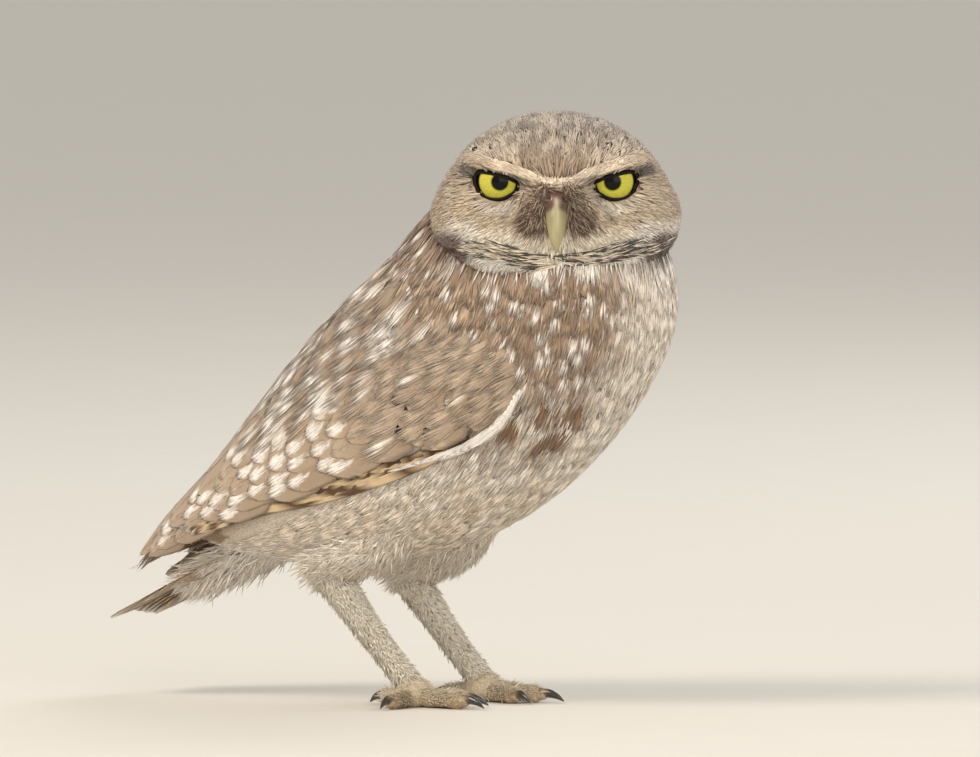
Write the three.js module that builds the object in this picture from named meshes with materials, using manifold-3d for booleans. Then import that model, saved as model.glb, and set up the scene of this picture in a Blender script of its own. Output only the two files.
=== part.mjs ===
// A life-size burrowing owl that stands side-on with its head turned to its right.
// Millimetres. +X is the way the body faces, +Y is the owl's left, +Z is up, and the floor is at Z = 0.
// Each named part is a separate closed solid, a thin gap away from the part that it grows from.
import * as THREE from "three";
import { mergeVertices } from "three/addons/utils/BufferGeometryUtils.js";
import Module from "manifold-3d";

const wasm = await Module();
wasm.setup();

const { clamp, degToRad, lerp, smoothstep } = THREE.MathUtils;
const point = (x, y, z) => new THREE.Vector3(x, y, z);

// The gap between neighbouring parts, and how near points must lie to count as one
const GAP = 0.4;
const SAME_PLACE = 1e-4;

// The body's coat, as stations 0 to 12 from inside the head down to the rump.
// Each has its place on the spine line and on the breast and belly line, as X and Z, and half its width.
const BODY = {
  back: [
    [12, 172], [-3, 157], [-19, 138], [-34, 123], [-47, 109], [-58.5, 96], [-68, 84.5],
    [-75.5, 74.5], [-81, 66.5], [-84.5, 60.5], [-86, 56], [-85, 52.5], [-82, 50.5],
  ],
  front: [
    [64, 172], [77, 153], [81, 136], [79, 120], [71, 103.5], [58.5, 86.5], [41, 69.8],
    [19, 56], [-5, 48], [-28, 44.8], [-50, 44.5], [-64, 46.5], [-72, 48],
  ],
  half: [19, 28, 36, 39.5, 40, 39, 37, 34, 30, 25, 19, 12, 5],
  power: 2.25,
};
const BODY_SIDES = 24;
const BODY_STEP = 0.6;
// The neck is parted from the torso on a plane through these two points of the side view
const NECK_CUT = { back: [-12, 148], front: [84, 139] };

// The outer surface of the folded wings, on stations of the same kind that run on to the wing tips
const WING = {
  back: [
    [12, 172], [-5, 159], [-22, 141], [-37.5, 125.5], [-50.5, 111.5], [-62, 98.5], [-72, 86.5],
    [-80.5, 76.5], [-88.5, 68], [-95.5, 60.5], [-101.5, 53.5], [-107, 47],
  ],
  front: [
    [64, 172], [80, 155], [85, 138], [83, 120], [74, 104], [60, 86.5], [41, 71],
    [19, 59], [-5, 51], [-33, 46], [-60, 43], [-86, 41.5],
  ],
  half: [22, 32, 38.5, 42, 43, 42, 40.5, 37.5, 33.5, 28.5, 22, 14.5],
  power: 2.25,
};
// How far round the body the wing's upper edge lies, from the spine line
const WING_TOP = degToRad(27);
// How far round its lower edge lies at the tip, and how much further at the wrist, at station 4
const WING_BOTTOM = degToRad(90);
const WRIST_STATION = 4;
const WRIST_DROP = degToRad(43);
const WRIST_FADE = 2.7;
const WING_LOWEST = degToRad(150);
// The stations of the shoulder and of the solid wing's end, before the free feathers
const SHOULDER_STATION = 1.7;
const WING_END_STATION = 9.2;
const WING_FRONT_CURVE = 1.3;
// How far below the wing's outer surface the solid wing stays, so that the feathers lie on it
const WING_BED = 1.1;
const WING_ROOT_DEPTH = 9;
// How far the wing's front and upper edges sink into the body's coat, and over what share of the wing
const WING_SINK = { front: 3.6, reach: 0.16, top: 2.6, from: 0.75 };
const WING_BED_GRID = { rows: 9, columns: 7 };

// Rows of wing feathers, each from its first feather, low on the wing, to its last, high on it.
// across is 0 at the wing's lower edge and 1 at its upper edge, root and tip are stations along the wing,
// lift is the height of root and tip over the wing's surface, and thick is the feather's depth there.
const WING_ROWS = [
  { name: "primaries", count: 5, across: [0.03, 0.29], root: [6.6, 7.4], tip: [11.0, 9.9],
    width: [9, 10.5], lift: [-2.6, -1.4], thick: [2.2, 0.7], steps: 4 },
  { name: "secondaries", count: 7, across: [0.2, 0.97], root: [6.0, 6.6], tip: [8.7, 10.1],
    width: [13.5, 14.5], lift: [-1.7, 0.1], thick: [2.2, 0.9], steps: 3 },
  { name: "greater coverts", count: 7, across: [0.05, 0.93], root: [5.0, 5.6], tip: [6.8, 8.2],
    width: [13.5, 14.5], lift: [-1.6, 0.9], thick: [2.2, 2.6], steps: 3 },
  { name: "median coverts", count: 6, across: [0.08, 0.88], root: [3.9, 4.1], tip: [5.5, 6.3],
    width: [15, 16], lift: [-1.5, 1.1], thick: [2.2, 2.8], steps: 3 },
  { name: "scapulars", count: 4, across: [0.5, 0.97], root: [2.7, 2.5], tip: [4.5, 5.2],
    width: [14, 15], lift: [-1.4, 1.4], thick: [2.2, 3.0], steps: 3 },
];
const FEATHER_CAMBER = 0.18;
const FEATHER_ROLL = degToRad(6);
// A feather's outline: its root's share of the full width, the shares of its length at which it is full
// and at which it starts to round off, and what is left of the width at the tip
const FEATHER_FORM = { root: 0.6, full: 0.4, round: 0.66, end: 1.02, tip: 0.316 };
// How much closer together a feather's sections stand towards its tip
const FEATHER_CROWDING = 1.5;

// The head is a rounded form about its own centre, in its own axes: forward, to the owl's left, and up
const HEAD_CENTRE = point(45.2, -6.7, 162.2);
const HEAD_TURN = degToRad(-63);
const HEAD = { front: 29, back: 36, side: 39.7, up: 32.9, down: 26.5, level: -3, frontPower: 3, soft: 2.2 };
// How much narrower each side is above the eyes, and the heights between which it narrows
const HEAD_NARROWING = { by: 2.4, from: -5, to: 15 };
const HEAD_RINGS = { front: 11, back: 7 };
const HEAD_SIDES = 34;
// The face: how far forward it lies, and how the discs round the eyes are hollowed
const FACE_FORWARD = 25.2;
const DISC_HOLLOW = 4.2;
const DISC_REACH = 11;
const BROW_LINE = { up: 5, rise: 0.38, soft: 5 };
const DISC_RIM = { at: 0.86, rise: 1.3, reach: 0.07, fadeFrom: -0.6, fadeTo: 0.1 };
const BRIDGE = { rise: 2.6, reach: 4.6, low: -14, high: -2 };

// The eyes, and the lids as a shell over each with an almond-shaped opening that slants down to the bill
const EYE_APART = 36.6;
const EYE_UP = 8.3;
const EYE_FORWARD = 14.5;
const EYE_RADIUS = 9;
const EYE_MESH = { sides: 20, bands: 12 };
const EYE_OUTWARD = degToRad(8);
const LID_THICK = 1.3;
const LID_OPENING = { across: 6.9, tall: 5.3, deep: 12, forward: 9, slant: degToRad(16) };
// The brow's centre line from over the bill to the temple, as forward, aside and up, with its two radii
const BROW = [
  { at: [24.4, 0.5, 6.8], across: 2.6, tall: 2.2 },
  { at: [22.8, 8.5, 9.2], across: 3.8, tall: 2.6 },
  { at: [20.4, 17.0, 13.4], across: 5.0, tall: 3.2 },
  { at: [16.4, 24.0, 15.7], across: 4.6, tall: 3.0 },
  { at: [11.0, 28.0, 16.2], across: 1.4, tall: 1.4 },
];

// The bill, in the head's axes: forward and up, half its breadth and half its depth
const BILL_UPPER = [
  { at: [20.5, 0, 5.0], across: 3.9, tall: 4.0 },
  { at: [26.2, 0, 2.6], across: 4.1, tall: 3.8 },
  { at: [29.4, 0, -1.8], across: 3.7, tall: 3.1 },
  { at: [30.9, 0, -6.4], across: 2.9, tall: 2.4 },
  { at: [30.7, 0, -10.6], across: 1.8, tall: 1.6 },
  { at: [29.4, 0, -13.8], across: 0.4, tall: 0.5 },
];
const BILL_LOWER = [
  { at: [20.0, 0, -4.4], across: 3.0, tall: 2.0 },
  { at: [23.6, 0, -6.4], across: 2.7, tall: 1.6 },
  { at: [26.4, 0, -8.8], across: 2.0, tall: 1.2 },
  { at: [27.7, 0, -11.0], across: 0.8, tall: 0.7 },
];
const NOSTRIL = { at: [30.6, 2.7, 0.6], radius: 1.0 };

// The tail: where its feathers start, their length, and the way they point
const TAIL_ROOT = point(-58, 0, 57);
const TAIL_DROP = degToRad(28);
const TAIL = {
  feathers: 12, length: 64, width: 12.5, fan: degToRad(9), apart: 1.1, step: 0.45, thick: [0.9, 0.7],
};
const TAIL_BED = [
  { at: [-44, 0, 61], across: 15, tall: 9 },
  { at: [-60, 0, 54], across: 14.5, tall: 8.5 },
  { at: [-76, 0, 45.5], across: 13, tall: 6 },
  { at: [-90, 0, 38], across: 10.5, tall: 3.2 },
  { at: [-97, 0, 34.2], across: 6, tall: 1.6 },
];

// Each leg: its knee inside the body, its heel, and its ankle above the foot
const LEGS = {
  right: {
    side: -1, knee: point(4, -15, 72), heel: point(-32.5, -19.5, 45.6), ankle: point(-1.5, -17, 6.5),
  },
  left: {
    side: 1, knee: point(10, 15, 68), heel: point(-24, 19.5, 43.4), ankle: point(6.5, 17, 6.5),
  },
};
const THIGH_RADII = [[9, 9], [10.5, 10.5], [10.8, 10.2], [9.4, 8.8], [6.6, 6.6]];
// How far the thigh bends out of the straight, where the tarsus starts behind the heel, and its own bend
const THIGH_BEND = point(2, 0, -3);
const TARSUS_START = point(-1.5, 0, 2);
const TARSUS_BEND = point(-0.5, 0, -0.3);
const TARSUS_RADII = [[6.8, 7.4], [5.6, 6.0], [4.7, 5.0], [4.4, 4.7], [4.5, 4.8]];
// The toes: the way each points from the body's heading, outwards, its length and its claw's
const TOES = [
  { name: "inner", turn: -20, length: 18, claw: 8.5, radius: 3.0 },
  { name: "middle", turn: 6, length: 22, claw: 9.0, radius: 3.2 },
  { name: "outer", turn: 84, length: 16, claw: 8.0, radius: 2.9 },
  { name: "hind", turn: 190, length: 12, claw: 7.0, radius: 2.9 },
];
// Along a toe: the share of its length, then the height of its middle and its girth, in toe radii
const TOE_FORM = [[0, 1.25, 1], [0.3, 1.08, 1], [0.6, 0.88, 0.93], [0.85, 0.84, 0.9], [1.02, 0.8, 0.55]];
const FOOT_TURN = -5;
const PAD = { across: 6.2, tall: 5.0, up: 4.4, forward: 0.8 };
// A claw's radius, how much narrower than tall it is, and the share of its toe at which it starts
const CLAW = { radius: 1.45, narrow: 0.85, start: 0.93 };
// Along a claw: the share of its length, the height of its middle, and its girth in claw radii
const CLAW_FORM = [[0, 3.0, 1], [0.36, 3.2, 1], [0.72, 2.3, 0.66], [1, 0.75, 0.19]];

// What each part looks like
const finish = (color, roughness) => new THREE.MeshStandardMaterial({ color, roughness, metalness: 0 });
const FINISHES = {
  plumage: finish(0x9c8468, 0.85),
  pale: finish(0xddd3c0, 0.85),
  leg: finish(0xcfc3aa, 0.9),
  toe: finish(0x9a8c7c, 0.7),
  claw: finish(0x2b2622, 0.35),
  bill: finish(0xb9bd93, 0.35),
  eye: finish(0xe2e21f, 0.1),
};

// The value at `t` of a smooth line through numbers that are one step apart
function smoothAt(values, t) {
  const last = values.length - 1;
  const i = clamp(Math.floor(t), 0, last - 1);
  const u = t - i;
  const before = i > 0 ? values[i - 1] : 2 * values[0] - values[1];
  const after = i + 2 <= last ? values[i + 2] : 2 * values[last] - values[last - 1];
  const [a, b] = [values[i], values[i + 1]];
  const slope = b - before;
  const square = 2 * before - 5 * a + 4 * b - after;
  const cube = 3 * (a - b) + after - before;
  return a + 0.5 * u * (slope + u * (square + u * cube));
}

// A closed geometry from rings of points, with a fan of triangles over each end
function overRings(rings) {
  const sides = rings[0].length;
  const middle = (ring) => ring.reduce((sum, p) => sum.add(p), point(0, 0, 0)).divideScalar(sides);
  const points = [...rings.flat(), middle(rings[0]), middle(rings[rings.length - 1])];
  const firstHub = rings.length * sides;
  const faces = [];
  for (let i = 0; i < sides; i++) {
    const j = (i + 1) % sides;
    for (let row = 0; row < firstHub - sides; row += sides) {
      faces.push(row + i, row + j, row + sides + j, row + i, row + sides + j, row + sides + i);
    }
    const end = firstHub - sides;
    faces.push(firstHub, j, i, firstHub + 1, end + i, end + j);
  }
  return faced(points, faces);
}

// A closed geometry between two grids of points, rows by columns, split into triangles alike on both
function betweenGrids(over, under) {
  const columns = over[0].length;
  const size = over.length * columns;
  const points = [...over.flat(), ...under.flat()];
  const faces = [];
  const quad = (a, b, c, d) => faces.push(a, b, c, a, c, d);
  for (let r = 0; r + 1 < over.length; r++) {
    for (let c = 0; c + 1 < columns; c++) {
      const a = r * columns + c;
      quad(a, a + 1, a + columns + 1, a + columns);
      faces.push(size + a, size + a + columns + 1, size + a + 1);
      faces.push(size + a, size + a + columns, size + a + columns + 1);
    }
  }
  const edge = [];
  for (let c = 0; c < columns; c++) edge.push(c);
  for (let r = 1; r < over.length; r++) edge.push(r * columns + columns - 1);
  for (let c = columns - 2; c >= 0; c--) edge.push(size - columns + c);
  for (let r = over.length - 2; r > 0; r--) edge.push(r * columns);
  edge.forEach((a, i) => {
    const b = edge[(i + 1) % edge.length];
    quad(b, a, size + a, size + b);
  });
  return faced(points, faces);
}

// An indexed geometry whose faces point outwards, whichever way round they are given
function faced(points, faces) {
  let volume = 0;
  for (let i = 0; i < faces.length; i += 3) {
    const [a, b, c] = [points[faces[i]], points[faces[i + 1]], points[faces[i + 2]]];
    volume += a.dot(b.clone().cross(c));
  }
  if (volume < 0) faces.reverse();
  const geometry = new THREE.BufferGeometry().setFromPoints(points);
  geometry.setIndex(faces);
  return geometry;
}

// A three.js geometry as a solid that can be cut and joined
function solidOf(geometry) {
  const bare = new THREE.BufferGeometry().setAttribute("position", geometry.getAttribute("position"));
  bare.setIndex(geometry.index);
  const merged = mergeVertices(bare, SAME_PLACE);
  return new wasm.Manifold(new wasm.Mesh({
    numProp: 3,
    vertProperties: new Float32Array(merged.attributes.position.array),
    triVerts: new Uint32Array(merged.index.array),
  }));
}

// The largest closed surface of a solid, without loose scraps or sealed hollows
function largest(solid) {
  return solid.decompose().reduce((best, piece) => (piece.volume() > best.volume() ? piece : best));
}

function joined(solids) {
  return solids.reduce((whole, piece) => whole.add(piece));
}

function without(solid, ...others) {
  return others.reduce((rest, other) => rest.subtract(other), solid);
}

// A solid with round sections along a smooth line. Each stop gives its place and its two radii,
// across and tall, and `upwards` says which way tall is measured.
function alongLine(stops, options) {
  const { upwards = point(0, 0, 1), sides = 12, steps = 12, grow = 0, place = null } = options;
  const line = (axis, t) => smoothAt(stops.map((stop) => stop.at[axis]), t);
  const rings = [];
  const last = stops.length - 1;
  const spot = (t) => {
    const p = point(line(0, t), line(1, t), line(2, t));
    return place ? place(p) : p;
  };
  const upAxis = place ? place(upwards.clone()).sub(place(point(0, 0, 0))) : upwards;
  for (let i = 0; i <= steps; i++) {
    const t = (last * i) / steps;
    const centre = spot(t);
    const ahead = spot(t + 0.05).sub(spot(t - 0.05)).normalize();
    if (i === 0) centre.addScaledVector(ahead, -grow);
    if (i === steps) centre.addScaledVector(ahead, grow);
    const aside = ahead.clone().cross(upAxis).normalize();
    const up = aside.clone().cross(ahead);
    const across = smoothAt(stops.map((stop) => stop.across), t) + grow;
    const tall = smoothAt(stops.map((stop) => stop.tall), t) + grow;
    rings.push(Array.from({ length: sides }, (_, k) => {
      const angle = (2 * Math.PI * k) / sides;
      const out = aside.clone().multiplyScalar(across * Math.cos(angle));
      return out.addScaledVector(up, tall * Math.sin(angle)).add(centre);
    }));
  }
  return overRings(rings);
}

// A point on a coat given by stations. `around` turns from the spine line, 0, over the owl's right
// side to the belly line, half a turn.
function coatPoint(coat, station, around, grow = 0) {
  const place = (line) => point(
    smoothAt(line.map(([x]) => x), station), 0, smoothAt(line.map(([, z]) => z), station));
  const back = place(coat.back);
  const front = place(coat.front);
  const centre = back.clone().add(front).divideScalar(2);
  const depth = back.sub(centre);
  depth.setLength(depth.length() + grow);
  const rounded = (x) => Math.sign(x) * Math.abs(x) ** (2 / coat.power);
  const half = smoothAt(coat.half, station) + grow;
  return centre.addScaledVector(depth, rounded(Math.cos(around)))
    .add(point(0, -half * rounded(Math.sin(around)), 0));
}

// The torso and the neck as one form
function wholeBody(grow) {
  const rings = [];
  const last = BODY.half.length - 1;
  for (let station = 0; station <= last; station += BODY_STEP) {
    rings.push(Array.from({ length: BODY_SIDES }, (_, k) =>
      coatPoint(BODY, station, (2 * Math.PI * k) / BODY_SIDES, grow)));
  }
  return solidOf(overRings(rings));
}

// Everything above the plane that parts neck and torso, shifted up by `rise`
function aboveNeckCut(rise) {
  const size = 400;
  const [x0, z0] = NECK_CUT.back;
  const [x1, z1] = NECK_CUT.front;
  const box = new THREE.BoxGeometry(size, size, size).translate(0, 0, size / 2 + rise);
  box.rotateY(-Math.atan2(z1 - z0, x1 - x0));
  box.translate((x0 + x1) / 2, 0, (z0 + z1) / 2);
  return solidOf(box);
}

// A place given in the head's own axes, as a place in the part
function fromHead(p) {
  const turned = p.clone().applyAxisAngle(point(0, 0, 1), HEAD_TURN);
  return turned.add(HEAD_CENTRE);
}

// How far forward the face lies at a place of the head's front view
function faceForward(aside, up) {
  const toEye = Math.hypot(Math.abs(aside) - EYE_APART / 2, up - EYE_UP);
  const overBrow = smoothstep(up - BROW_LINE.up - BROW_LINE.rise * Math.abs(aside), 0, BROW_LINE.soft);
  const hollow = DISC_HOLLOW * (1 - overBrow) * Math.exp(-((toEye / DISC_REACH) ** 2));
  const bridge = BRIDGE.rise * Math.exp(-((aside / BRIDGE.reach) ** 2));
  return FACE_FORWARD - hollow + bridge * smoothstep(up, BRIDGE.low, BRIDGE.high);
}

// A point of the head: `spread` is 0 at the middle of the face or nape and 1 at the outline
function headPoint(spread, around, isFront, grow) {
  const height = (Math.sin(around) > 0 ? HEAD.up : HEAD.down) + grow;
  const up = HEAD.level + height * spread * Math.sin(around);
  const narrowing = HEAD_NARROWING.by * smoothstep(up, HEAD_NARROWING.from, HEAD_NARROWING.to);
  const aside = (HEAD.side - narrowing + grow) * spread * Math.cos(around);
  if (!isFront) {
    const hind = (HEAD.back + grow) * Math.sqrt(Math.max(0, 1 - spread ** 2));
    return fromHead(point(-hind, aside, up));
  }
  const dome = HEAD.front * Math.sqrt(Math.max(0, 1 - spread ** HEAD.frontPower));
  const face = faceForward(aside, up);
  const blend = clamp(0.5 + (0.5 * (face - dome)) / HEAD.soft, 0, 1);
  const lower = lerp(face, dome, blend) - HEAD.soft * blend * (1 - blend);
  const rim = DISC_RIM.rise * Math.exp(-(((spread - DISC_RIM.at) / DISC_RIM.reach) ** 2));
  const shown = smoothstep(-Math.sin(around), DISC_RIM.fadeFrom, DISC_RIM.fadeTo);
  return fromHead(point(lower + rim * shown + grow * (1 - spread ** 4), aside, up));
}

function headForm(grow) {
  const rings = [];
  const ring = (spread, isFront) => Array.from({ length: HEAD_SIDES }, (_, k) =>
    headPoint(spread, (2 * Math.PI * k) / HEAD_SIDES, isFront, grow));
  for (let i = 1; i <= HEAD_RINGS.front; i++) {
    rings.push(ring(Math.sin((Math.PI / 2) * ((i + 1) / (HEAD_RINGS.front + 1))), true));
  }
  for (let i = HEAD_RINGS.back - 1; i > 0; i--) {
    rings.push(ring(Math.sin((Math.PI / 2) * (i / HEAD_RINGS.back)), false));
  }
  return solidOf(overRings(rings));
}

// The place of an eye's centre, in the head's axes. `side` is 1 for the owl's left and -1 for its right
function eyeCentre(side) {
  return point(EYE_FORWARD, (side * EYE_APART) / 2, EYE_UP);
}

function eyeBall(side, grow) {
  const ball = new THREE.SphereGeometry(EYE_RADIUS + grow, EYE_MESH.sides, EYE_MESH.bands);
  const { x, y, z } = fromHead(eyeCentre(side));
  return solidOf(ball.translate(x, y, z));
}

// What the opening between an eye's lids leaves clear
function lidOpening(side) {
  const opening = new THREE.SphereGeometry(1, EYE_MESH.sides, EYE_MESH.bands);
  opening.rotateZ(Math.PI / 2);
  opening.scale(LID_OPENING.deep, LID_OPENING.across, LID_OPENING.tall);
  opening.rotateX(side * LID_OPENING.slant);
  opening.translate(LID_OPENING.forward, 0, 0);
  opening.rotateZ(side * EYE_OUTWARD + HEAD_TURN);
  const { x, y, z } = fromHead(eyeCentre(side));
  return solidOf(opening.translate(x, y, z));
}

function browRidge(side) {
  const stops = BROW.map(({ at: [forward, aside, up], across, tall }) => (
    { at: [forward, side * aside, up], across, tall }
  ));
  return solidOf(alongLine(stops, { sides: 7, steps: 6, place: fromHead }));
}

function billPiece(stops, grow) {
  const upwards = point(1, 0, 0.3);
  return solidOf(alongLine(stops, { upwards, sides: 10, steps: 9, grow, place: fromHead }));
}

function nostril(side) {
  const pit = new THREE.SphereGeometry(NOSTRIL.radius, 10, 8);
  const [forward, aside, up] = NOSTRIL.at;
  const { x, y, z } = fromHead(point(forward, side * aside, up));
  return solidOf(pit.translate(x, y, z));
}

// How far round the body the place `across` the wing lies at a station
function aroundWing(station, across) {
  const bottom = WING_BOTTOM + WRIST_DROP * Math.exp(-(station - WRIST_STATION) / WRIST_FADE);
  return lerp(Math.min(bottom, WING_LOWEST), WING_TOP, across);
}

function wingPoint(station, across, rise) {
  return coatPoint(WING, station, aroundWing(station, across), rise);
}

// The wing's front edge: from the wrist, below, up and back to the shoulder
function wingFront(across) {
  return SHOULDER_STATION + (WRIST_STATION - SHOULDER_STATION) * (1 - across) ** WING_FRONT_CURVE;
}

// How far the solid wing's surface lies below the outer one
function wingSink(across, share) {
  const front = 1 - smoothstep(share, 0, WING_SINK.reach);
  const top = smoothstep(across, WING_SINK.from, 1);
  return WING_BED + WING_SINK.front * front + WING_SINK.top * top;
}

// The solid wing under the feathers, as a bed that follows the body's side
function wingBed() {
  const { rows, columns } = WING_BED_GRID;
  const grid = (depthAt) => Array.from({ length: rows + 1 }, (_, r) =>
    Array.from({ length: columns + 1 }, (_, c) => {
      const across = c / columns;
      const station = lerp(wingFront(across), WING_END_STATION, r / rows);
      return wingPoint(station, across, -depthAt(across, r / rows));
    }));
  return solidOf(betweenGrids(grid(wingSink), grid(() => WING_ROOT_DEPTH)));
}

// One flat, tapered feather. `spot` gives its middle line, with the way across it and the way out of it,
// at each share of its length, and `profile` gives half its width there.
function feather({ spot, width, thick, steps, camber = 0, roll = 0 }) {
  const over = [];
  const under = [];
  const sides = camber > 0 ? [-1, 0, 1] : [-1, 1];
  for (let i = 0; i <= steps; i++) {
    const share = 1 - (1 - i / steps) ** FEATHER_CROWDING;
    const { at, aside, out } = spot(share);
    const tilted = aside.clone().multiplyScalar(Math.cos(roll)).addScaledVector(out, Math.sin(roll));
    const half = (width / 2) * featherProfile(share);
    const line = (drop) => sides.map((side) => at.clone()
      .addScaledVector(tilted, side * half)
      .addScaledVector(out, -drop - Math.abs(side) * half * camber));
    over.push(line(0));
    under.push(line(lerp(thick[0], thick[1], share)));
  }
  return solidOf(betweenGrids(over, under));
}

// Half a feather's width along its length, as a share of its greatest: narrow root, full middle, round tip
function featherProfile(share) {
  const { root, full, round, end, tip } = FEATHER_FORM;
  const rounded = clamp((share - round) / (end - round), 0, 1);
  return lerp(root, 1, smoothstep(share, 0, full)) * Math.max(tip, Math.sqrt(1 - rounded ** 2));
}

// A feather that lies on the wing from one station and place across to another
function wingFeather(row, k) {
  const share = row.count > 1 ? k / (row.count - 1) : 0;
  const pick = ([first, last]) => lerp(first, last, share);
  const [root, tip, across, width] = [pick(row.root), pick(row.tip), pick(row.across), pick(row.width)];
  const front = wingFront(clamp(across, 0, 1));
  const spot = (t) => {
    const station = lerp(root, tip, t);
    const sunk = wingSink(across, (station - front) / (WING_END_STATION - front)) - WING_BED;
    const rise = lerp(row.lift[0], row.lift[1], t) - sunk;
    const at = wingPoint(station, across, rise);
    const ahead = wingPoint(station + 0.1, across, rise).sub(wingPoint(station - 0.1, across, rise));
    const upwards = wingPoint(station, across + 0.03, rise).sub(wingPoint(station, across - 0.03, rise));
    const out = ahead.clone().cross(upwards).normalize();
    if (out.y > 0) out.negate();
    const aside = out.clone().cross(ahead).normalize();
    return { at, aside, out };
  };
  const { thick, steps } = row;
  return feather({ spot, width, thick, steps, camber: FEATHER_CAMBER, roll: FEATHER_ROLL });
}

// The right wing, before it is cut clear of the body
function wingForm() {
  const feathers = WING_ROWS.flatMap((row) =>
    Array.from({ length: row.count }, (_, k) => wingFeather(row, k)));
  return joined([wingBed(), ...feathers]);
}

function tailFeather(k) {
  const fromMiddle = k - (TAIL.feathers - 1) / 2;
  const turn = (fromMiddle / (TAIL.feathers / 2)) * TAIL.fan;
  const under = TAIL.step * (Math.abs(fromMiddle) + (fromMiddle > 0 ? 0.5 : 0));
  const spot = (t) => {
    const away = TAIL.length * t;
    const at = point(-away * Math.cos(turn), away * Math.sin(turn) + fromMiddle * TAIL.apart, -under);
    at.applyAxisAngle(point(0, 1, 0), -TAIL_DROP).add(TAIL_ROOT);
    const out = point(0, 0, 1).applyAxisAngle(point(0, 1, 0), -TAIL_DROP);
    const aside = point(Math.sin(turn), Math.cos(turn), 0).applyAxisAngle(point(0, 1, 0), -TAIL_DROP);
    return { at, aside, out };
  };
  return feather({ spot, width: TAIL.width, thick: TAIL.thick, steps: 4 });
}

function tailForm() {
  const bed = solidOf(alongLine(TAIL_BED, { sides: 14, steps: 6 }));
  return joined([bed, ...Array.from({ length: TAIL.feathers }, (_, k) => tailFeather(k))]);
}

// A round limb through given points, with a pair of radii for each stop on the way
function limb(points, radii, options) {
  const curve = new THREE.CatmullRomCurve3(points);
  const stops = radii.map(([across, tall], i) => ({
    at: curve.getPoint(i / (radii.length - 1)).toArray(), across, tall,
  }));
  return solidOf(alongLine(stops, { upwards: point(1, 0, 1), ...options }));
}

function thigh({ knee, heel }, grow) {
  const bend = knee.clone().lerp(heel, 0.5).add(THIGH_BEND);
  return limb([knee, bend, heel], THIGH_RADII, { sides: 14, steps: 8, grow });
}

function tarsus({ heel, ankle }, grow) {
  const top = heel.clone().add(TARSUS_START);
  const bend = heel.clone().lerp(ankle, 0.5).add(TARSUS_BEND);
  return limb([top, bend, ankle], TARSUS_RADII, { sides: 12, steps: 8, grow });
}

// The level direction in which a toe points
function toeDirection(side, toe) {
  return point(1, 0, 0).applyAxisAngle(point(0, 0, 1), degToRad(FOOT_TURN + side * toe.turn));
}

function toe(leg, spec, grow) {
  const way = toeDirection(leg.side, spec);
  const stop = ([share, height, girth]) => ({
    at: leg.ankle.clone().addScaledVector(way, share * spec.length).setZ(height * spec.radius).toArray(),
    across: girth * spec.radius,
    tall: girth * spec.radius,
  });
  const stops = TOE_FORM.map(stop);
  return onFloor(alongLine(stops, { sides: 7, steps: 5, grow }), grow);
}

// A geometry with all that would lie below the floor pressed flat on it
function onFloor(geometry, grow) {
  const places = geometry.getAttribute("position");
  for (let i = 0; i < places.count; i++) places.setZ(i, Math.max(places.getZ(i), -grow));
  return solidOf(geometry);
}

function footPad(leg, grow) {
  const ball = new THREE.SphereGeometry(1, 12, 8);
  ball.scale(PAD.across + grow, PAD.across + grow, PAD.tall + grow);
  ball.translate(leg.ankle.x + PAD.forward, leg.ankle.y, PAD.up);
  return onFloor(ball, grow);
}

function foot(leg, grow) {
  return joined([footPad(leg, grow), ...TOES.map((spec) => toe(leg, spec, grow))]);
}

// A curved claw that grows from inside a toe's tip and ends just above the floor
function claw(leg, spec, grow) {
  const way = toeDirection(leg.side, spec);
  const start = leg.ankle.clone().addScaledVector(way, spec.length * CLAW.start);
  const stops = CLAW_FORM.map(([share, height, girth]) => ({
    at: start.clone().addScaledVector(way, share * spec.claw).setZ(height).toArray(),
    across: girth * CLAW.radius * CLAW.narrow,
    tall: girth * CLAW.radius,
  }));
  return onFloor(alongLine(stops, { sides: 7, steps: 5, grow }), 0);
}

function mirrored(solid) {
  return solid.mirror([0, 1, 0]);
}

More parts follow.
